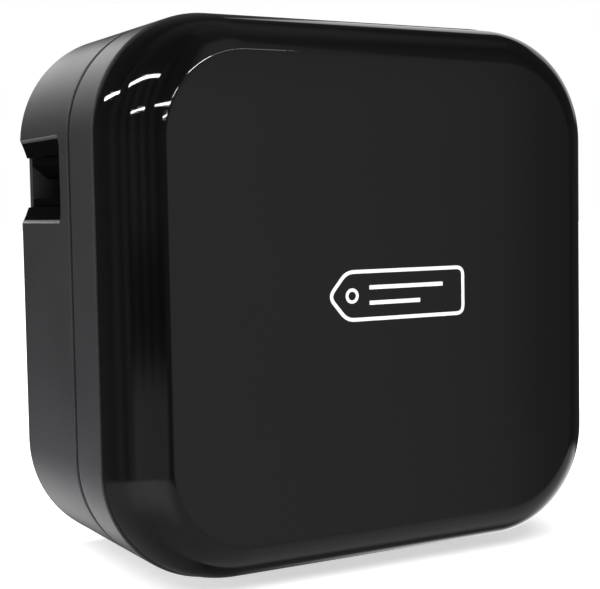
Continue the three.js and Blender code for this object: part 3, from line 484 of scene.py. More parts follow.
def gloss_plastic(name, colour, roughness):
    """High-gloss moulding: faint orange peel, wiping haze in the roughness, and a few hairline scratches."""
    sheet = Sheet(name)
    where = sheet.place()
    haze = sheet.noise(where, 26.0, 5.0, 0.6, 0.6)
    wiped = sheet.noise(sheet.place(scale=(1.0, 1.0, 5.0), turn=(0.0, 0.5, 0.0)), 40.0, 4.0, 0.65)
    mixed = sheet.math("ADD", sheet.math("MULTIPLY", haze, 0.6), sheet.math("MULTIPLY", wiped, 0.4))
    peel = sheet.noise(where, 420.0, 2.0, 0.4)
    hair = sheet.cells(sheet.place(scale=(1.0, 1.0, 14.0), turn=(0.0, 0.9, 0.0)), 60.0, "DISTANCE_TO_EDGE")
    scratch = sheet.remap(hair, 1.0, 0.0, 0.0, 0.012)
    normal = sheet.bump(scratch, 0.0000012, 0.35, sheet.bump(peel, 0.0000016, 0.5))
    return sheet.set(
        Base_Color=sheet.blend(sheet.remap(haze, 0.0, 1.0), shade(colour, 0.85), shade(colour, 1.2)),
        Roughness=sheet.remap(mixed, roughness * 0.7, roughness * 1.7), Normal=normal, IOR=1.5)


def satin_plastic(name, colour, roughness, grain=2600.0, depth=0.000022, specular=0.5):
    """Spark-eroded moulding: a fine even grain, slow tone changes, and handling polish in the roughness."""
    sheet = Sheet(name)
    where = sheet.place()
    tone = sheet.noise(where, 34.0, 4.0, 0.6)
    handled = sheet.noise(where, 9.0, 3.0, 0.5, 0.4)
    sparkle = sheet.noise(where, grain, 2.0, 0.6)
    pits = sheet.cells(where, grain * 0.8)
    height = sheet.math("ADD", sparkle, sheet.math("MULTIPLY", pits, 0.5))
    dust = sheet.remap(sheet.noise(where, grain * 0.6, 1.0), 0.0, 1.0, 0.62, 0.74)
    base = sheet.blend(sheet.remap(tone, 0.0, 1.0), shade(colour, 0.88), shade(colour, 1.12))
    base = sheet.blend(dust, base, shade(colour, 1.7))
    rubbed = sheet.math("ADD", sheet.math("MULTIPLY", handled, 0.7), sheet.math("MULTIPLY", sparkle, 0.3))
    return sheet.set(
        Base_Color=base, Roughness=sheet.remap(rubbed, roughness * 0.86, roughness * 1.16),
        Normal=sheet.bump(height, depth, 0.55), IOR=1.48, Specular_IOR_Level=specular)


def brushed_metal(name, colour, roughness, stretch=(1.0, 30.0, 1.0), scale=160.0):
    """Drawn or ground metal: streaks along one direction in colour, roughness and height."""
    sheet = Sheet(name)
    streak = sheet.noise(sheet.place(scale=tuple(1.0 / s for s in stretch)), scale * 12, 3.0)
    stain = sheet.noise(sheet.place(), 60.0, 4.0, 0.6)
    worn = sheet.math("ADD", sheet.math("MULTIPLY", streak, 0.5), sheet.math("MULTIPLY", stain, 0.5))
    return sheet.set(
        Base_Color=sheet.blend(sheet.remap(stain, 0.0, 1.0), shade(colour, 0.82), shade(colour, 1.08)),
        Roughness=sheet.remap(worn, roughness * 0.7, roughness * 1.4),
        Normal=sheet.bump(streak, 0.000004, 0.5), Metallic=1.0)


def rubber(name, colour, scale=1800.0):
    """Matt rubber: ground skin with a dusty bloom."""
    sheet = Sheet(name)
    where = sheet.place()
    bloom = sheet.noise(where, 90.0, 5.0, 0.65)
    skin = sheet.noise(where, scale, 2.0, 0.6)
    return sheet.set(
        Base_Color=sheet.blend(sheet.remap(bloom, 0.0, 1.0, 0.4, 0.7), colour, shade(colour, 1.9)),
        Roughness=sheet.remap(bloom, 0.72, 0.92), Normal=sheet.bump(skin, 0.00003, 0.6), IOR=1.5)


def wound_roll(name, colour, dark, node, turns=2600.0, roughness=0.3):
    """A wound roll: fine rings about its node's own axis on the ends, with uneven layers."""
    sheet = Sheet(name)
    where = sheet.place(scale=(1.0, 0.0, 1.0), centre=middle(node) * MM)
    radius = sheet.add("ShaderNodeVectorMath", {"Vector": where}, operation="LENGTH").outputs["Value"]
    wobble = sheet.noise(sheet.place(), 120.0, 3.0)
    uneven = sheet.math("ADD", radius, sheet.math("MULTIPLY", wobble, 0.0006))
    layer = sheet.math("SINE", sheet.math("MULTIPLY", uneven, turns * 4.0))
    share = sheet.remap(layer, 0.0, 1.0, -1.0, 1.0)
    return sheet.set(
        Base_Color=sheet.blend(sheet.math("MULTIPLY", share, 0.45), colour, dark),
        Roughness=sheet.remap(wobble, roughness * 0.75, roughness * 1.4),
        Normal=sheet.bump(share, 0.00002, 0.4), IOR=1.5)


def circuit_board(name, colour):
    """Solder mask over copper: lighter tracks, pads and vias under a green coat."""
    sheet = Sheet(name)
    where = sheet.place()
    track = sheet.cells(sheet.place(scale=(1.0, 1.0, 0.35)), 420.0, "DISTANCE_TO_EDGE")
    pads = sheet.cells(where, 300.0)
    copper = sheet.math("MAXIMUM", sheet.remap(track, 1.0, 0.0, 0.06, 0.1),
                        sheet.remap(pads, 1.0, 0.0, 0.1, 0.16))
    over_copper = (colour[0] + 0.05, colour[1] * 2.2, colour[2] * 1.8)
    fine = sheet.noise(where, 700.0, 2.0)
    return sheet.set(
        Base_Color=sheet.blend(copper, shade(colour, 0.8), over_copper),
        Roughness=sheet.remap(fine, 0.25, 0.42), Normal=sheet.bump(copper, 0.00003, 0.7), IOR=1.5)


def shrink_wrap(name, colour):
    """Battery wrap: smooth film with soft creases."""
    sheet = Sheet(name)
    crease = sheet.noise(sheet.place(scale=(1.0, 3.0, 3.0)), 90.0, 4.0, 0.6, 1.2)
    tone = sheet.noise(sheet.place(), 40.0, 3.0)
    return sheet.set(
        Base_Color=sheet.blend(sheet.remap(tone, 0.0, 1.0), shade(colour, 0.8), shade(colour, 1.15)),
        Roughness=sheet.remap(crease, 0.2, 0.38), Normal=sheet.bump(crease, 0.00012, 0.5), IOR=1.5)


def printed_ink(name, colour):
    """Printed ink: a slightly uneven, satin white layer."""
    sheet = Sheet(name)
    where = sheet.place()
    mottle = sheet.noise(where, 900.0, 3.0)
    return sheet.set(
        Base_Color=sheet.blend(sheet.remap(mottle, 0.0, 1.0), shade(colour, 0.94), colour),
        Roughness=sheet.remap(mottle, 0.32, 0.46), Normal=sheet.bump(mottle, 0.000006, 0.4), IOR=1.5)


def clear_lens(name, colour):
    """Moulded light pipe: milky white with faint flow marks."""
    sheet = Sheet(name)
    flow = sheet.noise(sheet.place(scale=(0.3, 1.0, 1.0)), 500.0, 3.0, 0.5, 0.8)
    return sheet.set(
        Base_Color=sheet.blend(sheet.remap(flow, 0.0, 1.0), shade(colour, 0.9), colour),
        Roughness=sheet.remap(flow, 0.12, 0.26), Normal=sheet.bump(flow, 0.00001, 0.4),
        Transmission_Weight=0.25, IOR=1.49)


def make_materials(finish):
    """Every finish of the printer, one material each."""
    gloss_plastic("high_gloss_black", tuple(finish.gloss_colour), finish.gloss_roughness)
    satin_plastic("satin_black", tuple(finish.satin_colour), finish.satin_roughness)
    # painted shade: near-black and hardly reflecting, for the exit's walls and guide, standing in for the
    # shadow inside the exit
    satin_plastic("exit_painted_shade_black", (0.001, 0.001, 0.001), 0.9, 1500.0, 0.00003, 0.02)
    satin_plastic("button_black", shade(finish.satin_colour, 0.8), 0.36, 3400.0, 0.00001)
    satin_plastic("matt_inner_black", (0.008, 0.008, 0.009), 0.62, 1500.0, 0.00004)
    # painted shade: near-black and dull, for the gaskets and the chassis plate's edge, standing in for the
    # shade deep in the seam
    satin_plastic("seam_black", (0.004, 0.004, 0.0045), 0.8, 1200.0, 0.00003)
    satin_plastic("acetal_white", (0.72, 0.71, 0.67), 0.42, 1900.0, 0.000012)
    satin_plastic("acetal_black", (0.02, 0.02, 0.022), 0.42, 1900.0, 0.000012)
    satin_plastic("cassette_grey", (0.1, 0.105, 0.115), 0.46, 2100.0, 0.00003)
    satin_plastic("cassette_dark", (0.028, 0.03, 0.034), 0.42, 2100.0, 0.00003)
    satin_plastic("chip_black", (0.014, 0.014, 0.015), 0.5, 2600.0, 0.000015)
    satin_plastic("glazed_ceramic", (0.75, 0.72, 0.66), 0.22, 1400.0, 0.000006)
    brushed_metal("satin_steel", (0.56, 0.57, 0.58), 0.3)
    brushed_metal("turned_brass", (0.75, 0.58, 0.28), 0.28)
    brushed_metal("plated_can", (0.5, 0.51, 0.52), 0.32, (1.0, 1.0, 18.0))
    brushed_metal("mill_aluminium", (0.6, 0.61, 0.62), 0.42, (24.0, 1.0, 1.0))
    rubber("foot_rubber", (0.016, 0.016, 0.016))
    rubber("roller_rubber", (0.05, 0.05, 0.053), 1200.0)
    circuit_board("green_board", (0.008, 0.09, 0.03))
    shrink_wrap("blue_wrap", (0.045, 0.09, 0.24))
    clear_lens("milky_lens", (0.78, 0.8, 0.82))
    printed_ink("white_ink", tuple(finish.emblem_colour))
    wound_roll("wound_film", (0.58, 0.64, 0.68), (0.4, 0.46, 0.5), "film_spool", 2600.0, 0.22)
    wound_roll("wound_tape", (0.84, 0.84, 0.82), (0.62, 0.62, 0.6), "adhesive_spool")
    ink, worn_ink = (0.012, 0.012, 0.014), (0.03, 0.03, 0.034)
    wound_roll("wound_ribbon", ink, worn_ink, "ribbon_supply_spool")
    wound_roll("taken_up_ribbon", ink, worn_ink, "ribbon_takeup_spool")


# ---- casing ----
def cover_profile(casing):
    """Rows of (inset, depth, corner radius) over the cover: from the flat panel round the crease, along a
    cubic curve to the rim, round the rim's edge, and back along the inner wall."""
    lead_length, lead_angle = 7.0 * MM, math.radians(12)
    tail_length, tail_angle = 9.0 * MM, math.radians(3.5)
    crease_round, edge = 0.35 * MM, 0.14 * MM
    crease = np.array([HALF_W - casing.panel_inset, FRONT_Y])
    rim = np.array([HALF_W - casing.rim_inset, COVER_HIGH.y])
    lead = crease + lead_length * np.array([math.cos(lead_angle), math.sin(lead_angle)])
    tail = rim - tail_length * np.array([math.sin(tail_angle), math.cos(tail_angle)])
    t = np.linspace(0, 1, 41)[:, None]
    bevel = (1 - t) ** 3 * crease + 3 * t * (1 - t) ** 2 * lead + 3 * t ** 2 * (1 - t) * tail + t ** 3 * rim
    s = np.linspace(0, 1, 5)[:, None]
    first = crease - (crease_round, 0.0)
    turn = (1 - s) ** 2 * first + 2 * s * (1 - s) * crease + s ** 2 * bevel[1]
    lip = quarter_arc((rim[0] - edge, rim[1] - edge), edge, 0, 90, 4)
    outer = np.vstack([turn, bevel[2:-2], lip])
    wall = casing.cover_wall
    behind = bevel[bevel[:, 1] > FRONT_Y + wall + 0.2 * MM][::-1][::2]
    inner = np.vstack([
        [(rim[0] - wall + 0.2 * MM, rim[1])], behind[1:] - np.array([wall, 0.0]),
        [(crease[0] - wall, FRONT_Y + wall)]])
    rows = np.vstack([outer, inner])
    within = np.concatenate([np.zeros(len(outer)), np.full(len(inner), wall)])
    share = (rows[:, 0] + within - crease[0]) / (rim[0] - crease[0])
    rim_radius = casing.corner_radius - casing.rim_inset
    radius = casing.panel_radius + (rim_radius - casing.panel_radius) * share - within
    return HALF_W - rows[:, 0], rows[:, 1], radius


def build_cover(casing):
    """The gloss cover, and the tag printed on it."""
    inset, depth, radius = cover_profile(casing)
    stations = perimeter(casing.corner_steps + 14, 10)
    half_x, half_z = HALF_W - inset, HALF_H - inset
    cover = closed_skin("gloss_cover", stations, half_x, half_z, radius, depth, MID_Z, caps=True)
    soften(cover, 0.0)
    finished(cover, "casing", "high_gloss_black", ["front_cover"])
    tag = printed_tag()
    finished(tag, "casing", "white_ink")


def stroke(name, path, width, low, high, closed):
    """A flat printed line: at each point of the path, a thin box profile across the path's own direction."""
    path = np.asarray(path, float)
    if closed:
        forward = np.roll(path, -1, axis=0) - np.roll(path, 1, axis=0)
    else:
        forward = np.gradient(path, axis=0)
    forward /= np.linalg.norm(forward, axis=1)[:, None]
    side = np.column_stack([-forward[:, 1], forward[:, 0]]) * width / 2
    soft = (high - low) * 0.3
    profile = [(1, low), (1, high - soft), (0.94, high), (-0.94, high), (-1, high - soft), (-1, low)]
    across, height = np.array(profile).T
    flat = path[:, None, :] + across[None, :, None] * side[:, None, :]
    depth = np.broadcast_to(FRONT_Y - height, flat.shape[:2])
    points = np.stack([flat[:, :, 0], depth, flat[:, :, 1]], axis=-1)
    faces = quads(len(path), len(profile)) if closed else capped_tube(len(path), len(profile))
    return new_object(name, points, faces)


def printed_tag():
    """A plain luggage-tag outline with its hole and two short lines, laid on the panel."""
    low, high = -0.02 * MM, 0.045 * MM
    centre = np.array([2.7 * MM, MID_Z])
    outline = np.array([(-18.2, 0.0), (-13.6, -5.4), (18.4, -5.4), (18.4, 5.4), (-13.6, 5.4)]) * MM
    loop = rounded_loop(outline, 1.9 * MM, 6) + centre
    pieces = [stroke("cover_tag", loop, 0.85 * MM, low, high, True)]
    turn = np.linspace(0, 2 * math.pi, 28, endpoint=False)
    hole = centre + np.column_stack([-12.2 + 1.35 * np.cos(turn), 1.35 * np.sin(turn)]) * MM
    pieces.append(stroke("tag_hole", hole, 0.75 * MM, low, high, True))
    for x0, x1, z in ((-7.6, 12.6, 1.75), (-7.6, 6.2, -1.75)):
        line = centre + np.column_stack([np.linspace(x0, x1, 9), np.full(9, z)]) * MM
        pieces.append(stroke("tag_line", line, 0.95 * MM, low, high, False))
    tag = join_into(*pieces)
    tag.data.polygons.foreach_set("use_smooth", np.zeros(len(tag.data.polygons), bool))
    return tag


SEAM_SHARE = 0.7             # how much of the full edge rounding the edges along the seam have


def ring_rows(front, back, wall, front_round, back_round):
    """Closed profile of a band as (inset, depth): rounded front and back edges outside, a plain inside."""
    inner = 0.25 * MM
    return np.vstack([
        quarter_arc((front_round, front + front_round), front_round, 270, 180, 6),
        [(0.0, front + front_round + 0.6 * MM), (0.0, back - back_round - 0.6 * MM)],
        quarter_arc((back_round, back - back_round), back_round, 180, 90, 8),
        quarter_arc((wall - inner, back - inner), inner, 90, 0, 2),
        quarter_arc((wall - inner, front + inner), inner, 0, -90, 2),
    ])


def foot_pocket(foot):
    """A cutter for the recess round a foot."""
    radius, depth = 4.8, 1.8
    return lathe("pocket", "Z", middle(foot) * (1, 1, 0), rod(radius, -1, depth), sides=40)


def flared_rod(node, radius, flare):
    """A cutter along X through the band beside a node, which opens out by the flare at the outer face."""
    face = HALF_W / MM
    inner = face - 4
    profile = [(0, inner), (radius, inner), (radius, face - flare), (radius + flare * 2, face + flare),
               (0, face + flare)]
    return lathe("hole", "X", middle(node) * (0, 1, 1), profile, sides=48)


def socket_slot():
    """A cutter for the slot with round ends round the charging socket, upright in the Y-Z plane."""
    clear = 0.4
    low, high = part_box("charging_socket")
    x, y, z = middle("charging_socket")
    radius = (high.y - low.y) / 2 / MM + clear
    half = (high.z - low.z) / 2 / MM + clear - radius
    top = quarter_arc((y, z + half), radius, 0, 180, 10)
    bottom = quarter_arc((y, z - half), radius, 180, 360, 10)
    return prism("slot", "X", np.vstack([top, bottom]), x, HALF_W / MM + 2)


def build_band(casing):
    """The satin band, with its holes for the button, lights and charging socket."""
    cover_gap, front_round = 0.08 * MM, 0.3 * MM
    front = COVER_HIGH.y + cover_gap
    rows = ring_rows(front, BAND_HIGH.y, casing.band_wall, front_round, casing.edge_round * SEAM_SHARE)
    band = insets_skin("satin_band", perimeter(casing.corner_steps, 12), rows, casing.corner_radius)
    for side in SIDES:
        cut(band, foot_pocket(f"foot_front_{side}"))
    cut(band, flared_rod("power_button", 4.7, 0.35))
    for light in ("power_light", "battery_light"):
        cut(band, flared_rod(light, 1.5, 0.2))
    cut(band, socket_slot())
    soften(band, casing.small_edge)
    finished(band, "casing", "satin_black", ["middle_frame"])


def build_gaskets(casing):
    """Two thin gaskets that close the seam in front of and behind the chassis plate. Each is a flat ring, set
    back from the plate's edge. The rings block light through the seam; their near-black, dull finish is
    painted shade for the deep seam."""
    plate, bite = 1.1 * MM, 0.02 * MM
    outer, inner = 1.7 * MM, 2.4 * MM
    plate_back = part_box("chassis_plate")[1].y
    plate_front = plate_back - plate
    stations = perimeter(casing.corner_steps, 12)
    rings = []
    for front, back in ((BAND_HIGH.y, plate_front), (plate_back, SHELL_LOW.y)):
        low, high = front - bite, back + bite
        rows = [(outer, low), (outer, high), (inner, high), (inner, low)]
        rings.append(insets_skin("seam_gaskets", stations, rows, casing.corner_radius))
    finished(join_into(*rings), "casing", "seam_black")


EXIT_FRONT = 4.2             # where the mouth of the tape exit starts, in millimetres from front to back
MOUTH_TOP, MOUTH_BOTTOM = 102.0, 81.7        # heights of the mouth at the outer skin, in millimetres
THROAT_TOP, THROAT_BOTTOM = 97.6, 85.6       # heights of the opening at the inside of the wall


def exit_cutter():
    """The tape exit: outlines in the X-Z plane, one for each depth, joined in order. Each narrows through the
    wall in a hollow curve, and the first is lower, which cuts the mouth's front corners."""
    corner, corner_top, corner_bottom = 1.2, 99.6, 83.6
    side, wall, past = -HALF_W / MM, 2.0, 2.0
    share = np.linspace(0, 1, 7)
    hollow = share ** 1.5
    depth = np.array([EXIT_FRONT, EXIT_FRONT + corner, 20.0, BACK_Y / MM + 2.5])
    top = np.array([corner_top, MOUTH_TOP, MOUTH_TOP, MOUTH_TOP])[:, None]
    bottom = np.array([corner_bottom, MOUTH_BOTTOM, MOUTH_BOTTOM, MOUTH_BOTTOM])[:, None]
    slant_x = np.concatenate([[side - past], side + wall * share])
    upper = np.concatenate([[1.5], 1 - hollow, [0.0]])
    above = THROAT_TOP + (top - THROAT_TOP) * upper
    below = THROAT_BOTTOM - (THROAT_BOTTOM - bottom) * upper
    x = np.concatenate([slant_x, [side + wall + past] * 2, slant_x[::-1]])
    z = np.hstack([above, below[:, ::-1]])
    points = np.stack(np.broadcast_arrays(x[None, :], depth[:, None], z), axis=-1)
    return new_object("exit", points * MM, capped_tube(len(depth), len(x)))


PIN_HOLE = 0.95              # radius of the holes for the hinge pins, in millimetres


def hinge_ears():
    """The four ears that carry the door's hinge pins, with their pin holes."""
    outline = [(30.0, 1.6), (33.3, 1.6), (33.3, 7.2), (32.3, 8.2), (30.0, 8.2)]
    ears = []
    for x0, x1 in ((-33.4, -30.4), (-23.6, -20.6), (20.6, 23.6), (30.4, 33.4)):
        hole = lathe("hole", "X", HINGE_AXIS, rod(PIN_HOLE, x0 - 1, x1 + 1), sides=24)
        ears.append(cut(prism("ear", "X", outline, x0, x1), hole))
    return ears


def corner_gussets(casing):
    """The two fixed fillets in the shell's lower corners."""
    stations = perimeter(casing.corner_steps, 6)
    rows = np.array([(0.5, 31.3), (0.5, 32.3), (0.75, 33.0), (1.2, 33.4)]) * MM
    side, inner_end, top = HALF_W / MM, 46.4, 8.1
    gussets = []
    for x0, x1 in ((-side, -inner_end), (inner_end, side)):
        gusset = insets_skin("gusset", stations, rows, casing.corner_radius, caps=True)
        gussets.append(cut(gusset, block("corner", x0, x1, 30, 35, 0, top), "INTERSECT"))
    return gussets


def build_shell(casing):
    """The rear shell with its tape exit, hinge ears and lower corner fillets, and painted shade on the exit's
    walls.
    """
    rows = ring_rows(SHELL_LOW.y, SHELL_HIGH.y, casing.shell_wall, casing.edge_round * SEAM_SHARE,
                     casing.back_round)
    shell = insets_skin("rear_casing", perimeter(casing.corner_steps, 12), rows, casing.corner_radius)
    for side in SIDES:
        cut(shell, foot_pocket(f"foot_rear_{side}"))
    cut(shell, exit_cutter())
    join_into(shell, *hinge_ears(), *corner_gussets(casing))
    soften(shell, casing.small_edge)
    finished(shell, "casing", "satin_black", ["rear_shell"])
    paint_exit_shade(shell)


def paint_exit_shade(shell):
    """Paints shade on the exit's slanted walls: a near-black, hardly reflecting finish from just inside the
    skin inwards, which stands in for the shadow inside the exit.
    """
    shell.data.materials.append(bpy.data.materials["exit_painted_shade_black"])
    count = len(shell.data.polygons)
    centre, normal = np.zeros(count * 3), np.zeros(count * 3)
    shell.data.polygons.foreach_get("center", centre)
    shell.data.polygons.foreach_get("normal", normal)
    x, y, z = centre.reshape(-1, 3).T / MM
    inward = x + HALF_W / MM
    sideways = np.abs(normal.reshape(-1, 3)[:, 0]) > 0.99
    between = (z > MOUTH_BOTTOM - 0.25) & (z < MOUTH_TOP + 0.25)
    # painted shade: the exit's slanted walls between the mouth's top and bottom take the near-black finish
    walls = (inward > 0.6) & (inward < 4) & (y > EXIT_FRONT - 0.2) & between & ~sideways
    shell.data.polygons.foreach_set("material_index", walls.astype(np.int32))


def build_door(casing):
    """The rear door: a plate with a rounded outer edge, a rim inside, windows for the ears, and knuckles."""
    half_x = (DOOR_HIGH.x - DOOR_LOW.x) / 2
    half_z = (DOOR_HIGH.z - DOOR_LOW.z) / 2
    centre_z = (DOOR_HIGH.z + DOOR_LOW.z) / 2
    corner = casing.corner_radius - (HALF_W - half_x)
    stations = perimeter(casing.corner_steps, 8)
    plate = np.vstack([
        [(0.2, 31.5), (0.0, 31.7)], quarter_arc((0.5, 32.9), 0.5, 180, 90, 5)]) * MM
    inset, depth = plate.T
    door = closed_skin("tape_door_cover", stations, half_x - inset, half_z - inset, corner - inset, depth,
                       centre_z, caps=True)
    ring = np.array([(1.6, 30.1), (1.6, 31.6), (2.8, 31.6), (2.8, 30.1)]) * MM
    inset, depth = ring.T
    rim = closed_skin("rim", stations, half_x - inset, half_z - inset, corner - inset, depth, centre_z)
    for x0, x1, low, high in ((-64, -50, 78, 106), (-64, 64, 0, 12), (-14, 14, 105, 128)):
        cut(rim, block("gap", x0, x1, 29, 32, low, high))
    cut(door, block("window", -10, 10, 28, 35, 110, 121))
    ear_top, pin_height = 8.8, 6.2
    windows = ((20.2, 23.8, ear_top), (30.2, 33.8, ear_top), (23.8, 30.2, pin_height), (46, 64, ear_top))
    for side in (-1, 1):
        for x0, x1, top in windows:
            ends = sorted((side * x0, side * x1))
            cut(door, block("window", *ends, 28, 35, 0, top))
    knuckles = []
    for side in (-1, 1):
        x0, x1 = sorted((side * 24, side * 30))
        knuckles.append(lathe("knuckle", "X", HINGE_AXIS, sleeve(1.5, PIN_HOLE, x0, x1), 0.15, 32))
    soften(join_into(door, rim, *knuckles), casing.small_edge)
    finished(door, "door", "satin_black", ["tape_door"])


# ---- turned pieces ----
def turned(name, node, body, material, axis, profile, rounding=0.15, sides=48):
    """A turned piece that stands for a CAD node and shares its axis. Its profile's heights are places along
    that axis."""
    across = 1 - AXES[axis][0]
    on_axis = [index for index, point in enumerate(profile) if point[0] == 0]
    item = lathe(name, axis, middle(node) * across, profile, rounding, sides, on_axis)
    item.data.polygons.foreach_set("use_smooth", np.ones(len(item.data.polygons), bool))
    soften(item, 0.0)
    return finished(item, body, material, [node])


def build_controls():
    """The power button, the two lights, and the feet."""
    button = [
        (0, 57.5), (1.5, 57.5), (1.5, 60.3), (5.6, 60.3), (5.6, 61.3), (4.4, 61.3), (4.4, 63.8), (3.7, 63.8),
        (2.6, 63.55), (0, 63.45)]
    turned("round_power_button", "power_button", "button", "button_black", "X", button, 0.2, 64)
    lens = [
        (0, 55.6), (1.2, 55.6), (1.2, 60.4), (2.0, 60.4), (2.0, 61.3), (1.2, 61.3), (1.2, 63.8), (0.7, 63.9),
        (0, 63.9)]
    for light in ("power", "battery"):
        turned(f"{light}_lens", f"{light}_light", "casing", "milky_lens", "X", lens, 0.12, 40)
    foot = [(0, 0.12), (2.6, 0.12), (2.9, 0), (4.5, 0), (4.5, 1.5), (0, 1.5)]
    for end in ENDS:
        for side in SIDES:
            turned(f"rubber_foot_{end}_{side}", f"foot_{end}_{side}", "casing", "foot_rubber",
                   "Z", foot, 0.3)


def spool_profile(outer, core, low, high, dish=0.25):
    """A wound roll whose end faces dish slightly between the core and the outside."""
    halfway = (outer + core) / 2
    front = [(core, low), (halfway, low + dish), (outer, low)]
    return front + [(outer, high), (halfway, high - dish), (core, high)]


def build_turned_inside():
    """Pins, rollers, spools and motors."""
    for side in SIDES:
        node = f"door_hinge_pin_{side}"
        low, high = (corner.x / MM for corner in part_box(node))
        turned(f"hinge_pin_{side}", node, "casing", "satin_steel", "X", rod(0.8, low, high),
               sides=24)
    front, back = 8.5, 27.5
    for body in ("platen", "pinch"):
        turned(f"ground_{body}_roller", f"{body}_roller", body, "roller_rubber", "Y",
               sleeve(4.0, 1.5, front, back), 0.25)
    turned("pivot_pin", "holder_pivot_pin", "casing", "satin_steel", "Y", rod(1.4, 1.2, 30), 0.2, 32)
    low, high, core = 7.7, 28.7, 2.9
    turned("wound_film_spool", "film_spool", "film", "wound_film", "Y",
           spool_profile(17, core, low, high), sides=64)
    turned("wound_tape_spool", "adhesive_spool", "adhesive", "wound_tape", "Y",
           spool_profile(19.5, core, low, high), sides=64)
    turned("ink_ribbon_spool", "ribbon_supply_spool", "supply", "wound_ribbon", "Y",
           spool_profile(6.5, core, low, high, 0.15))
    turned("ink_ribbon_takeup", "ribbon_takeup_spool", "ribbon", "taken_up_ribbon", "Y",
           spool_profile(4.0, 1.9, low, high, 0.1), 0.12)
    turned("feed_roller", "cassette_feed_roller", "feed", "cassette_dark", "Y",
           sleeve(4.0, 1.9, front, back), 0.2)
    feed_motor = [(0, -26), (2.2, -26), (2.2, -25.4), (9.3, -25.4), (9.3, -3.2), (2.8, -3.2), (2.8, -1.9),
                  (0, -1.9)]
    turned("motor_can", "feed_motor", "casing", "plated_can", "Y", feed_motor, 0.5, 56)
    cutter_motor = [(0, -41.8), (4.2, -41.8), (4.2, -22.4), (1.6, -22.4), (1.6, -22), (0, -22)]
    turned("cutter_motor_can", "cutter_motor", "casing", "plated_can", "X", cutter_motor, 0.3)


# ---- CAD nodes that keep their shape ----
KEPT_NODES = {                # by material: the width of the rounded edges in millimetres, and the nodes
    "satin_black": (0.25, ["door_latch"]),
    "matt_inner_black": (0.2, ["tape_bay", "battery_tray"]),
    # painted shade: the exit guide takes the near-black exit finish, which stands in for the shadow inside
    # the exit
    "exit_painted_shade_black": (0.2, ["exit_guide"]),
    # painted shade: the chassis plate, the floor of the seam, takes the near-black seam finish
    "seam_black": (0.0, ["chassis_plate"]),
    "satin_steel": (0.05, [
        "charging_socket", "case_screw_1", "case_screw_2", "case_screw_3", "case_screw_4",
        "cutter_fixed_blade", "cutter_moving_blade", "cutter_pivot_pin", "platen_axle", "pinch_axle"]),
    "turned_brass": (0.04, ["motor_pinion"]),
    "chip_black": (0.12, ["power_switch", "main_processor"]),
    "mill_aluminium": (0.12, ["wireless_module", "heat_sink"]),
    "glazed_ceramic": (0.1, ["print_head"]),
    "green_board": (0.1, ["main_board"]),
    "blue_wrap": (0.2, ["battery_pack"]),
    "acetal_white": (0.06, ["reduction_gear", "feed_gear", "holder_idler_gear", "cutter_gear"]),
    "acetal_black": (0.06, ["ribbon_gear", "cutter_pinion", "roller_holder"]),
    "cassette_grey": (0.25, ["cassette_lower_case"]),
    "cassette_dark": (0.25, ["cassette_upper_case"]),
    "wound_tape": (0.04, ["label_strip"]),
}


def dress_kept_nodes():
    """Gives each CAD node that is still shown its material and small rounded edges."""
    for material, (width, names) in KEPT_NODES.items():
        for name in names:
            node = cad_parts[name]
            node.data.materials.clear()
            node.data.materials.append(bpy.data.materials[material])
            soften(node, width * MM, 30, 2, weld=True)


# ---- studio ----
def look_through(studio):
    """The camera at its place, turned by yaw, pitch and roll."""
    yaw, pitch, roll = studio.yaw, studio.pitch, studio.roll
    forward = Vector((math.sin(yaw) * math.cos(pitch), math.cos(yaw) * math.cos(pitch), math.sin(pitch)))
    right = Vector((math.cos(yaw), -math.sin(yaw), 0))
    up = right.cross(forward)
    turned_right = right * math.cos(roll) + up * math.sin(roll)
    turned_up = up * math.cos(roll) - right * math.sin(roll)
    data = bpy.data.cameras.new("camera")
    data.lens = studio.lens
    data.sensor_width = 36.0
    data.sensor_fit = "HORIZONTAL"
    data.clip_start = 0.01
    data.clip_end = 50.0
    camera = bpy.data.objects.new("camera", data)
    columns = Matrix((turned_right, turned_up, -forward)).transposed()
    camera.matrix_world = Matrix.Translation(studio.camera_place) @ columns.to_4x4()
    bpy.context.scene.collection.objects.link(camera)
    bpy.context.scene.camera = camera


def new_light(name, kind, turn, place=(0, 0, 0), **settings):
    """A light of one kind, turned by the columns of a matrix, with the given settings of its data."""
    data = bpy.data.lights.new(name, kind)
    for key, value in settings.items():
        setattr(data, key, value)
    light = bpy.data.objects.new(name, data)
    light.matrix_world = Matrix.Translation(place) @ turn.to_4x4()
    bpy.context.scene.collection.objects.link(light)
    return light


def soft_sun(name, direction, strength, angle, mirrored=False):
    """A far, soft light, this many degrees wide; unless mirrored it lights without showing in the gloss."""
    turn = Vector(direction).to_track_quat("Z", "Y").to_matrix()
    sun = new_light(name, "SUN", turn, energy=strength, angle=math.radians(angle))
    sun.visible_glossy = mirrored


CEILING = 1.5                # height of the tubes above the middle of the printer, in metres
TUBES = (
    # each tube's two ends over the printer, as shares of that height, its width, and its brightness
    ((-1.27, 0.54), (-0.70, -0.86), 0.11, 1.0),
    ((-1.515, 2.29), (-1.465, 1.10), 0.12, 1.0),
    ((-1.48, -2.14), (-0.10, -3.80), 0.1, 1.0),
    ((-2.89, -0.04), (-2.02, -1.47), 0.11, 1.0),
    ((-0.85, -4.89), (-0.06, -5.34), 0.1, 1.0),
    ((0.07, -3.5), (0.244, -3.03), 0.12, 1.0),
    ((0.27, -2.25), (0.57, -1.88), 0.12, 1.0),
    ((0.57, -1.88), (1.0, -1.55), 0.1, 0.12),
)


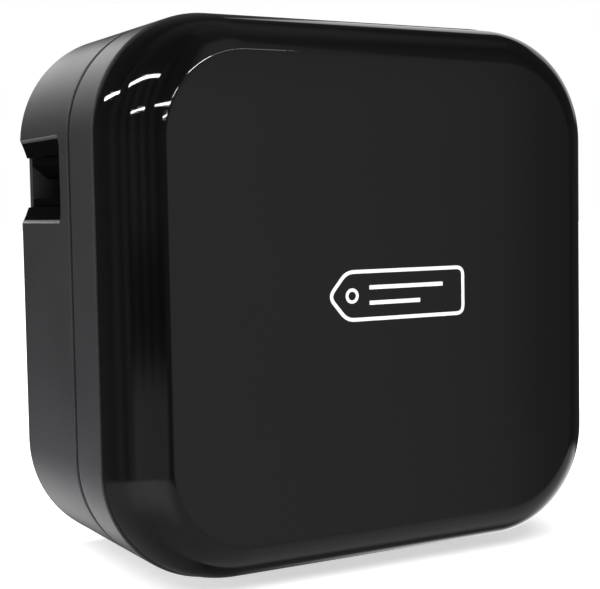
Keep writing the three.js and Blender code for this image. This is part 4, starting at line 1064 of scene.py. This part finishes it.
def ceiling_tube(name, start, end, width, glow):
    """A narrow light between two points on the ceiling, facing the printer, which only shows mirrored."""
    middle_height = Vector((0, 0, 0.1))
    ends = [Vector((x * CEILING, y * CEILING, CEILING)) + middle_height for x, y in (start, end)]
    place = (ends[0] + ends[1]) / 2
    back = (place - middle_height).normalized()
    along = (ends[1] - ends[0]) - back * (ends[1] - ends[0]).dot(back)
    length = along.length
    along.normalize()
    turn = Matrix((along, back.cross(along), back)).transposed()
    tube = new_light(name, "AREA", turn, place, shape="RECTANGLE", size=length, size_y=width,
                     energy=glow * math.pi * length * width)
    tube.visible_diffuse = False
    tube.visible_camera = False


def low_light(power):
    """A small light just above the floor at the printer's left, which lifts the foot of that side."""
    facing = Vector((0.8, 0.0, 0.6))
    along = Vector((0.0, 1.0, 0.0))
    turn = Matrix((along.cross(-facing), along, -facing)).transposed()
    place = Vector((BAND_LOW.x - 0.03, 0.008, 0.003))
    glow = new_light("low_glow", "AREA", turn, place, shape="RECTANGLE", size=0.02, size_y=0.1, energy=power)
    glow.visible_glossy = False
    glow.visible_camera = False


def build_floor(studio):
    """A round pale floor: rings of points, each at its own radius, out to the edge."""
    radius = np.concatenate([[0.0], np.geomspace(0.05, 6.0, 24)])[None, :]
    turn = np.linspace(0, 2 * math.pi, 96, endpoint=False)[:, None]
    x, y = radius * np.cos(turn), radius * np.sin(turn)
    points = np.stack([x, y, np.zeros_like(x)], axis=-1)
    floor = tidy_poles(new_object("studio_floor", points, quads(*x.shape, True, False)))
    sheet = Sheet("pale_floor")
    fibre = sheet.noise(sheet.place(), 240.0, 4.0, 0.6)
    sheet.set(Base_Color=sheet.blend(sheet.remap(fibre, 0.0, 1.0), shade(studio.floor_colour, 0.985),
                                     tuple(studio.floor_colour)),
              Roughness=sheet.remap(fibre, 0.75, 0.9), Normal=sheet.bump(fibre, 0.00002, 0.2),
              Emission_Color=(1.0, 1.0, 1.0, 1.0), Emission_Strength=0.6)
    floor.data.materials.append(sheet.material)
    if floor.data.polygons[0].normal.z < 0:
        floor.data.flip_normals()
    floor.visible_glossy = False
    floor.visible_shadow = False


# Brightness round the printer, by direction in degrees: 0 in front, 90 at the right, 180 behind.
WALLS = (
    (-180, 0.04), (-168, 0.04), (-150, 0.05), (-136, 0.05), (-127, 0.12), (-116, 0.06), (-106, 0.15),
    (-96, 0.07), (-84, 0.2), (-70, 0.08), (-58, 0.19), (-46, 0.07), (-34, 0.16), (-22, 0.06), (-9, 0.1),
    (4, 0.11), (13, 0.47), (25, 0.49), (29, 0.46), (33, 0.43), (36, 0.39), (38, 0.34), (39.5, 0.23),
    (41, 0.18), (60, 0.09), (90, 0.08), (120, 0.04), (150, 0.06), (165, 0.05), (180, 0.04))
FAR_FLOOR = (
    (-180, 0.12), (-150, 0.14), (-125, 0.3), (-105, 0.6), (-60, 0.8), (-20, 0.75), (-4, 0.42), (25, 0.4),
    (45, 0.36), (80, 0.7), (105, 1.6), (138, 1.6), (147, 0.08), (180, 0.1))
NEAR_FLOOR = (
    (-180, 0.12), (-120, 0.2), (-60, 0.36), (0, 0.4), (50, 0.56), (85, 0.56), (100, 0.3), (112, 0.1),
    (150, 0.06), (180, 0.1))
OVERHEAD = ((-180, 0.1), (-90, 0.06), (-30, 0.07), (20, 0.13), (90, 0.18), (140, 0.14), (180, 0.1))


class Surroundings:
    """The world's node tree with short calls for sums, soft steps and rings of brightness."""

    def __init__(self, name):
        self.world = bpy.data.worlds.new(name)
        self.world.use_nodes = True
        self.tree = self.world.node_tree
        self.tree.nodes.clear()
        coordinate = self.tree.nodes.new("ShaderNodeTexCoord").outputs["Generated"]
        split = self.tree.nodes.new("ShaderNodeSeparateXYZ")
        self.tree.links.new(coordinate, split.inputs[0])
        x, y, self.height = split.outputs
        azimuth = self.number("DEGREES", self.number("ARCTAN2", x, self.number("MULTIPLY", y, -1.0)))
        self.turned = self.number("DIVIDE", self.number("ADD", azimuth, 180.0), 360.0)

    def number(self, operation, first, second=0.0):
        node = self.tree.nodes.new("ShaderNodeMath")
        node.operation = operation
        for index, value in enumerate((first, second)):
            if isinstance(value, bpy.types.NodeSocket):
                self.tree.links.new(value, node.inputs[index])
            else:
                node.inputs[index].default_value = value
        return node.outputs[0]

    def times(self, first, second):
        return self.number("MULTIPLY", first, second)

    def step(self, value, start, stop, low=0.0, high=1.0):
        """Goes smoothly from low to high as the value goes from start to stop."""
        node = self.tree.nodes.new("ShaderNodeMapRange")
        node.interpolation_type = "SMOOTHSTEP"
        self.tree.links.new(value, node.inputs["Value"])
        limits = {"From Min": start, "From Max": stop, "To Min": low, "To Max": high}
        for key, limit in limits.items():
            node.inputs[key].default_value = limit
        return node.outputs[0]

    def bearing(self, start, stop):
        """Goes softly from nothing to all as the direction goes from one angle to another, in degrees."""
        return self.step(self.turned, (start + 180) / 360, (stop + 180) / 360)

    def mixed(self, share, first, second):
        rest = self.number("SUBTRACT", 1.0, share)
        return self.number("ADD", self.times(first, rest), self.times(second, share))

    def ring(self, stops):
        """Brightness round the printer, from rows of (direction in degrees, brightness)."""
        node = self.tree.nodes.new("ShaderNodeValToRGB")
        self.tree.links.new(self.turned, node.inputs[0])
        band = node.color_ramp.elements
        while len(band) < len(stops):
            band.new(0.5)
        for element, (angle, level) in zip(band, stops):
            element.position = (angle + 180) / 360
        for element, (angle, level) in zip(band, stops):
            element.color = (level, level, level, 1.0)
        return node.outputs[0]


def build_world():
    """White all round to look at, and a dim studio to light and mirror: soft bands on a dark left, a pale
    front right, a bright window behind it, a pale floor below, and a dark ceiling. Height is the sine of the
    angle above the horizon."""
    around = Surroundings("studio")
    height, times, step = around.height, around.times, around.step
    skirt, upper_wall, window_glow = 0.36, 0.82, 0.75
    left = times(around.bearing(-7.2, -14.4), around.bearing(-108, -90))
    shadowed = times(step(height, -0.13, -0.075), step(height, 0.0, -0.045))
    level = times(around.ring(WALLS), around.number("SUBTRACT", 1.0, times(shadowed, times(left, 0.6))))
    level = around.mixed(times(left, step(height, -0.1, -0.15)), level, skirt)
    level = times(level, step(height, 0.07, 0.14, 1.0, upper_wall))
    window = times(around.bearing(97.92, 108), around.bearing(150.48, 146.88))
    window = times(window, times(step(height, 0.1, 0.17), step(height, 0.57, 0.5)))
    level = around.mixed(window, level, window_glow)
    level = around.mixed(step(height, -0.24, -0.3), level, around.ring(FAR_FLOOR))
    level = around.mixed(step(height, -0.4, -0.75), level, around.ring(NEAR_FLOOR))
    level = around.mixed(step(height, 0.72, 0.88), level, around.ring(OVERHEAD))
    sees = around.tree.nodes.new("ShaderNodeLightPath").outputs["Is Camera Ray"]
    shader = around.tree.nodes.new("ShaderNodeBackground")
    shader.inputs["Color"].default_value = (1.0, 1.0, 1.0, 1.0)
    around.tree.links.new(around.mixed(sees, level, 1.0), shader.inputs["Strength"])
    out = around.tree.nodes.new("ShaderNodeOutputWorld")
    around.tree.links.new(shader.outputs[0], out.inputs[0])
    bpy.context.scene.world = around.world


def build_studio(studio):
    """Camera, floor, surroundings and lights."""
    look_through(studio)
    build_floor(studio)
    build_world()
    soft_sun("overhead_soft", (-0.25, -0.3, 1.0), studio.key_power, 70)
    soft_sun("floor_bounce", (-0.6, -0.25, -0.75), studio.bounce_power, 60)
    soft_sun("rim_above", (0.06, 0.95, 0.32), studio.rim_power, 16, mirrored=True)
    soft_sun("rim_below", (0.02, 0.94, -0.34), studio.rim_power * 0.6, 16, mirrored=True)
    low_light(studio.low_power)
    for index, (start, end, width, share) in enumerate(TUBES):
        ceiling_tube(f"ceiling_tube_{index + 1}", start, end, width, studio.tube_glow * share)
    bpy.context.scene.view_settings.view_transform = "Standard"


# ---- operators ----
class LABELPRINTER_OT_finishes(bpy.types.Operator):
    """Make every finish"""

    bl_idname = "label_printer.finishes"
    bl_label = "Finishes"

    def execute(self, context):
        make_materials(context.scene.printer_finish)
        return {"FINISHED"}


class LABELPRINTER_OT_cover(bpy.types.Operator):
    """Build the gloss cover and its printed tag"""

    bl_idname = "label_printer.cover"
    bl_label = "Gloss cover"

    def execute(self, context):
        build_cover(context.scene.printer_casing)
        return {"FINISHED"}


class LABELPRINTER_OT_band(bpy.types.Operator):
    """Build the satin band and the seam's gaskets"""

    bl_idname = "label_printer.band"
    bl_label = "Satin band"

    def execute(self, context):
        build_band(context.scene.printer_casing)
        build_gaskets(context.scene.printer_casing)
        return {"FINISHED"}


class LABELPRINTER_OT_shell(bpy.types.Operator):
    """Build the rear shell with its tape exit"""

    bl_idname = "label_printer.shell"
    bl_label = "Rear shell"

    def execute(self, context):
        build_shell(context.scene.printer_casing)
        return {"FINISHED"}


class LABELPRINTER_OT_door(bpy.types.Operator):
    """Build the rear door"""

    bl_idname = "label_printer.door"
    bl_label = "Tape door"

    def execute(self, context):
        build_door(context.scene.printer_casing)
        return {"FINISHED"}


class LABELPRINTER_OT_controls(bpy.types.Operator):
    """Build the button, lights and feet"""

    bl_idname = "label_printer.controls"
    bl_label = "Controls and feet"

    def execute(self, context):
        build_controls()
        return {"FINISHED"}


class LABELPRINTER_OT_inside(bpy.types.Operator):
    """Build the turned pieces inside, and dress the CAD nodes that keep their shape"""

    bl_idname = "label_printer.inside"
    bl_label = "Inside"

    def execute(self, context):
        build_turned_inside()
        dress_kept_nodes()
        return {"FINISHED"}


class LABELPRINTER_OT_studio(bpy.types.Operator):
    """Build the camera, floor and lights"""

    bl_idname = "label_printer.studio"
    bl_label = "Studio"

    def execute(self, context):
        build_studio(context.scene.printer_studio)
        return {"FINISHED"}


BUILD_ORDER = (
    LABELPRINTER_OT_finishes, LABELPRINTER_OT_cover, LABELPRINTER_OT_band, LABELPRINTER_OT_shell,
    LABELPRINTER_OT_door, LABELPRINTER_OT_controls, LABELPRINTER_OT_inside, LABELPRINTER_OT_studio,
)


class LABELPRINTER_PT_panel(bpy.types.Panel):
    """Lists the printer's pieces"""

    bl_idname = "LABELPRINTER_PT_panel"
    bl_label = "Label printer"
    bl_space_type = "VIEW_3D"
    bl_region_type = "UI"
    bl_category = "Label printer"

    def draw(self, context):
        for operator in BUILD_ORDER:
            self.layout.operator(operator.bl_idname)
        for group in ("printer_casing", "printer_finish", "printer_studio"):
            settings = getattr(context.scene, group)
            box = self.layout.box()
            for name in settings.bl_rna.properties.keys():
                if name not in ("rna_type", "name"):
                    box.prop(settings, name)


SETTINGS = {
    "printer_casing": CasingSettings,
    "printer_finish": FinishSettings,
    "printer_studio": StudioSettings,
}


def register():
    for kind in (*SETTINGS.values(), *BUILD_ORDER, LABELPRINTER_PT_panel):
        bpy.utils.register_class(kind)
    for name, kind in SETTINGS.items():
        setattr(bpy.types.Scene, name, PointerProperty(type=kind))


def unregister():
    for name in SETTINGS:
        delattr(bpy.types.Scene, name)
    for kind in reversed((*SETTINGS.values(), *BUILD_ORDER, LABELPRINTER_PT_panel)):
        bpy.utils.unregister_class(kind)


def main():
    """Builds every piece in order."""
    register()
    for operator in BUILD_ORDER:
        category, name = operator.bl_idname.split(".")
        getattr(getattr(bpy.ops, category), name)()
    bpy.context.view_layer.update()


if __name__ == "__main__":
    main()
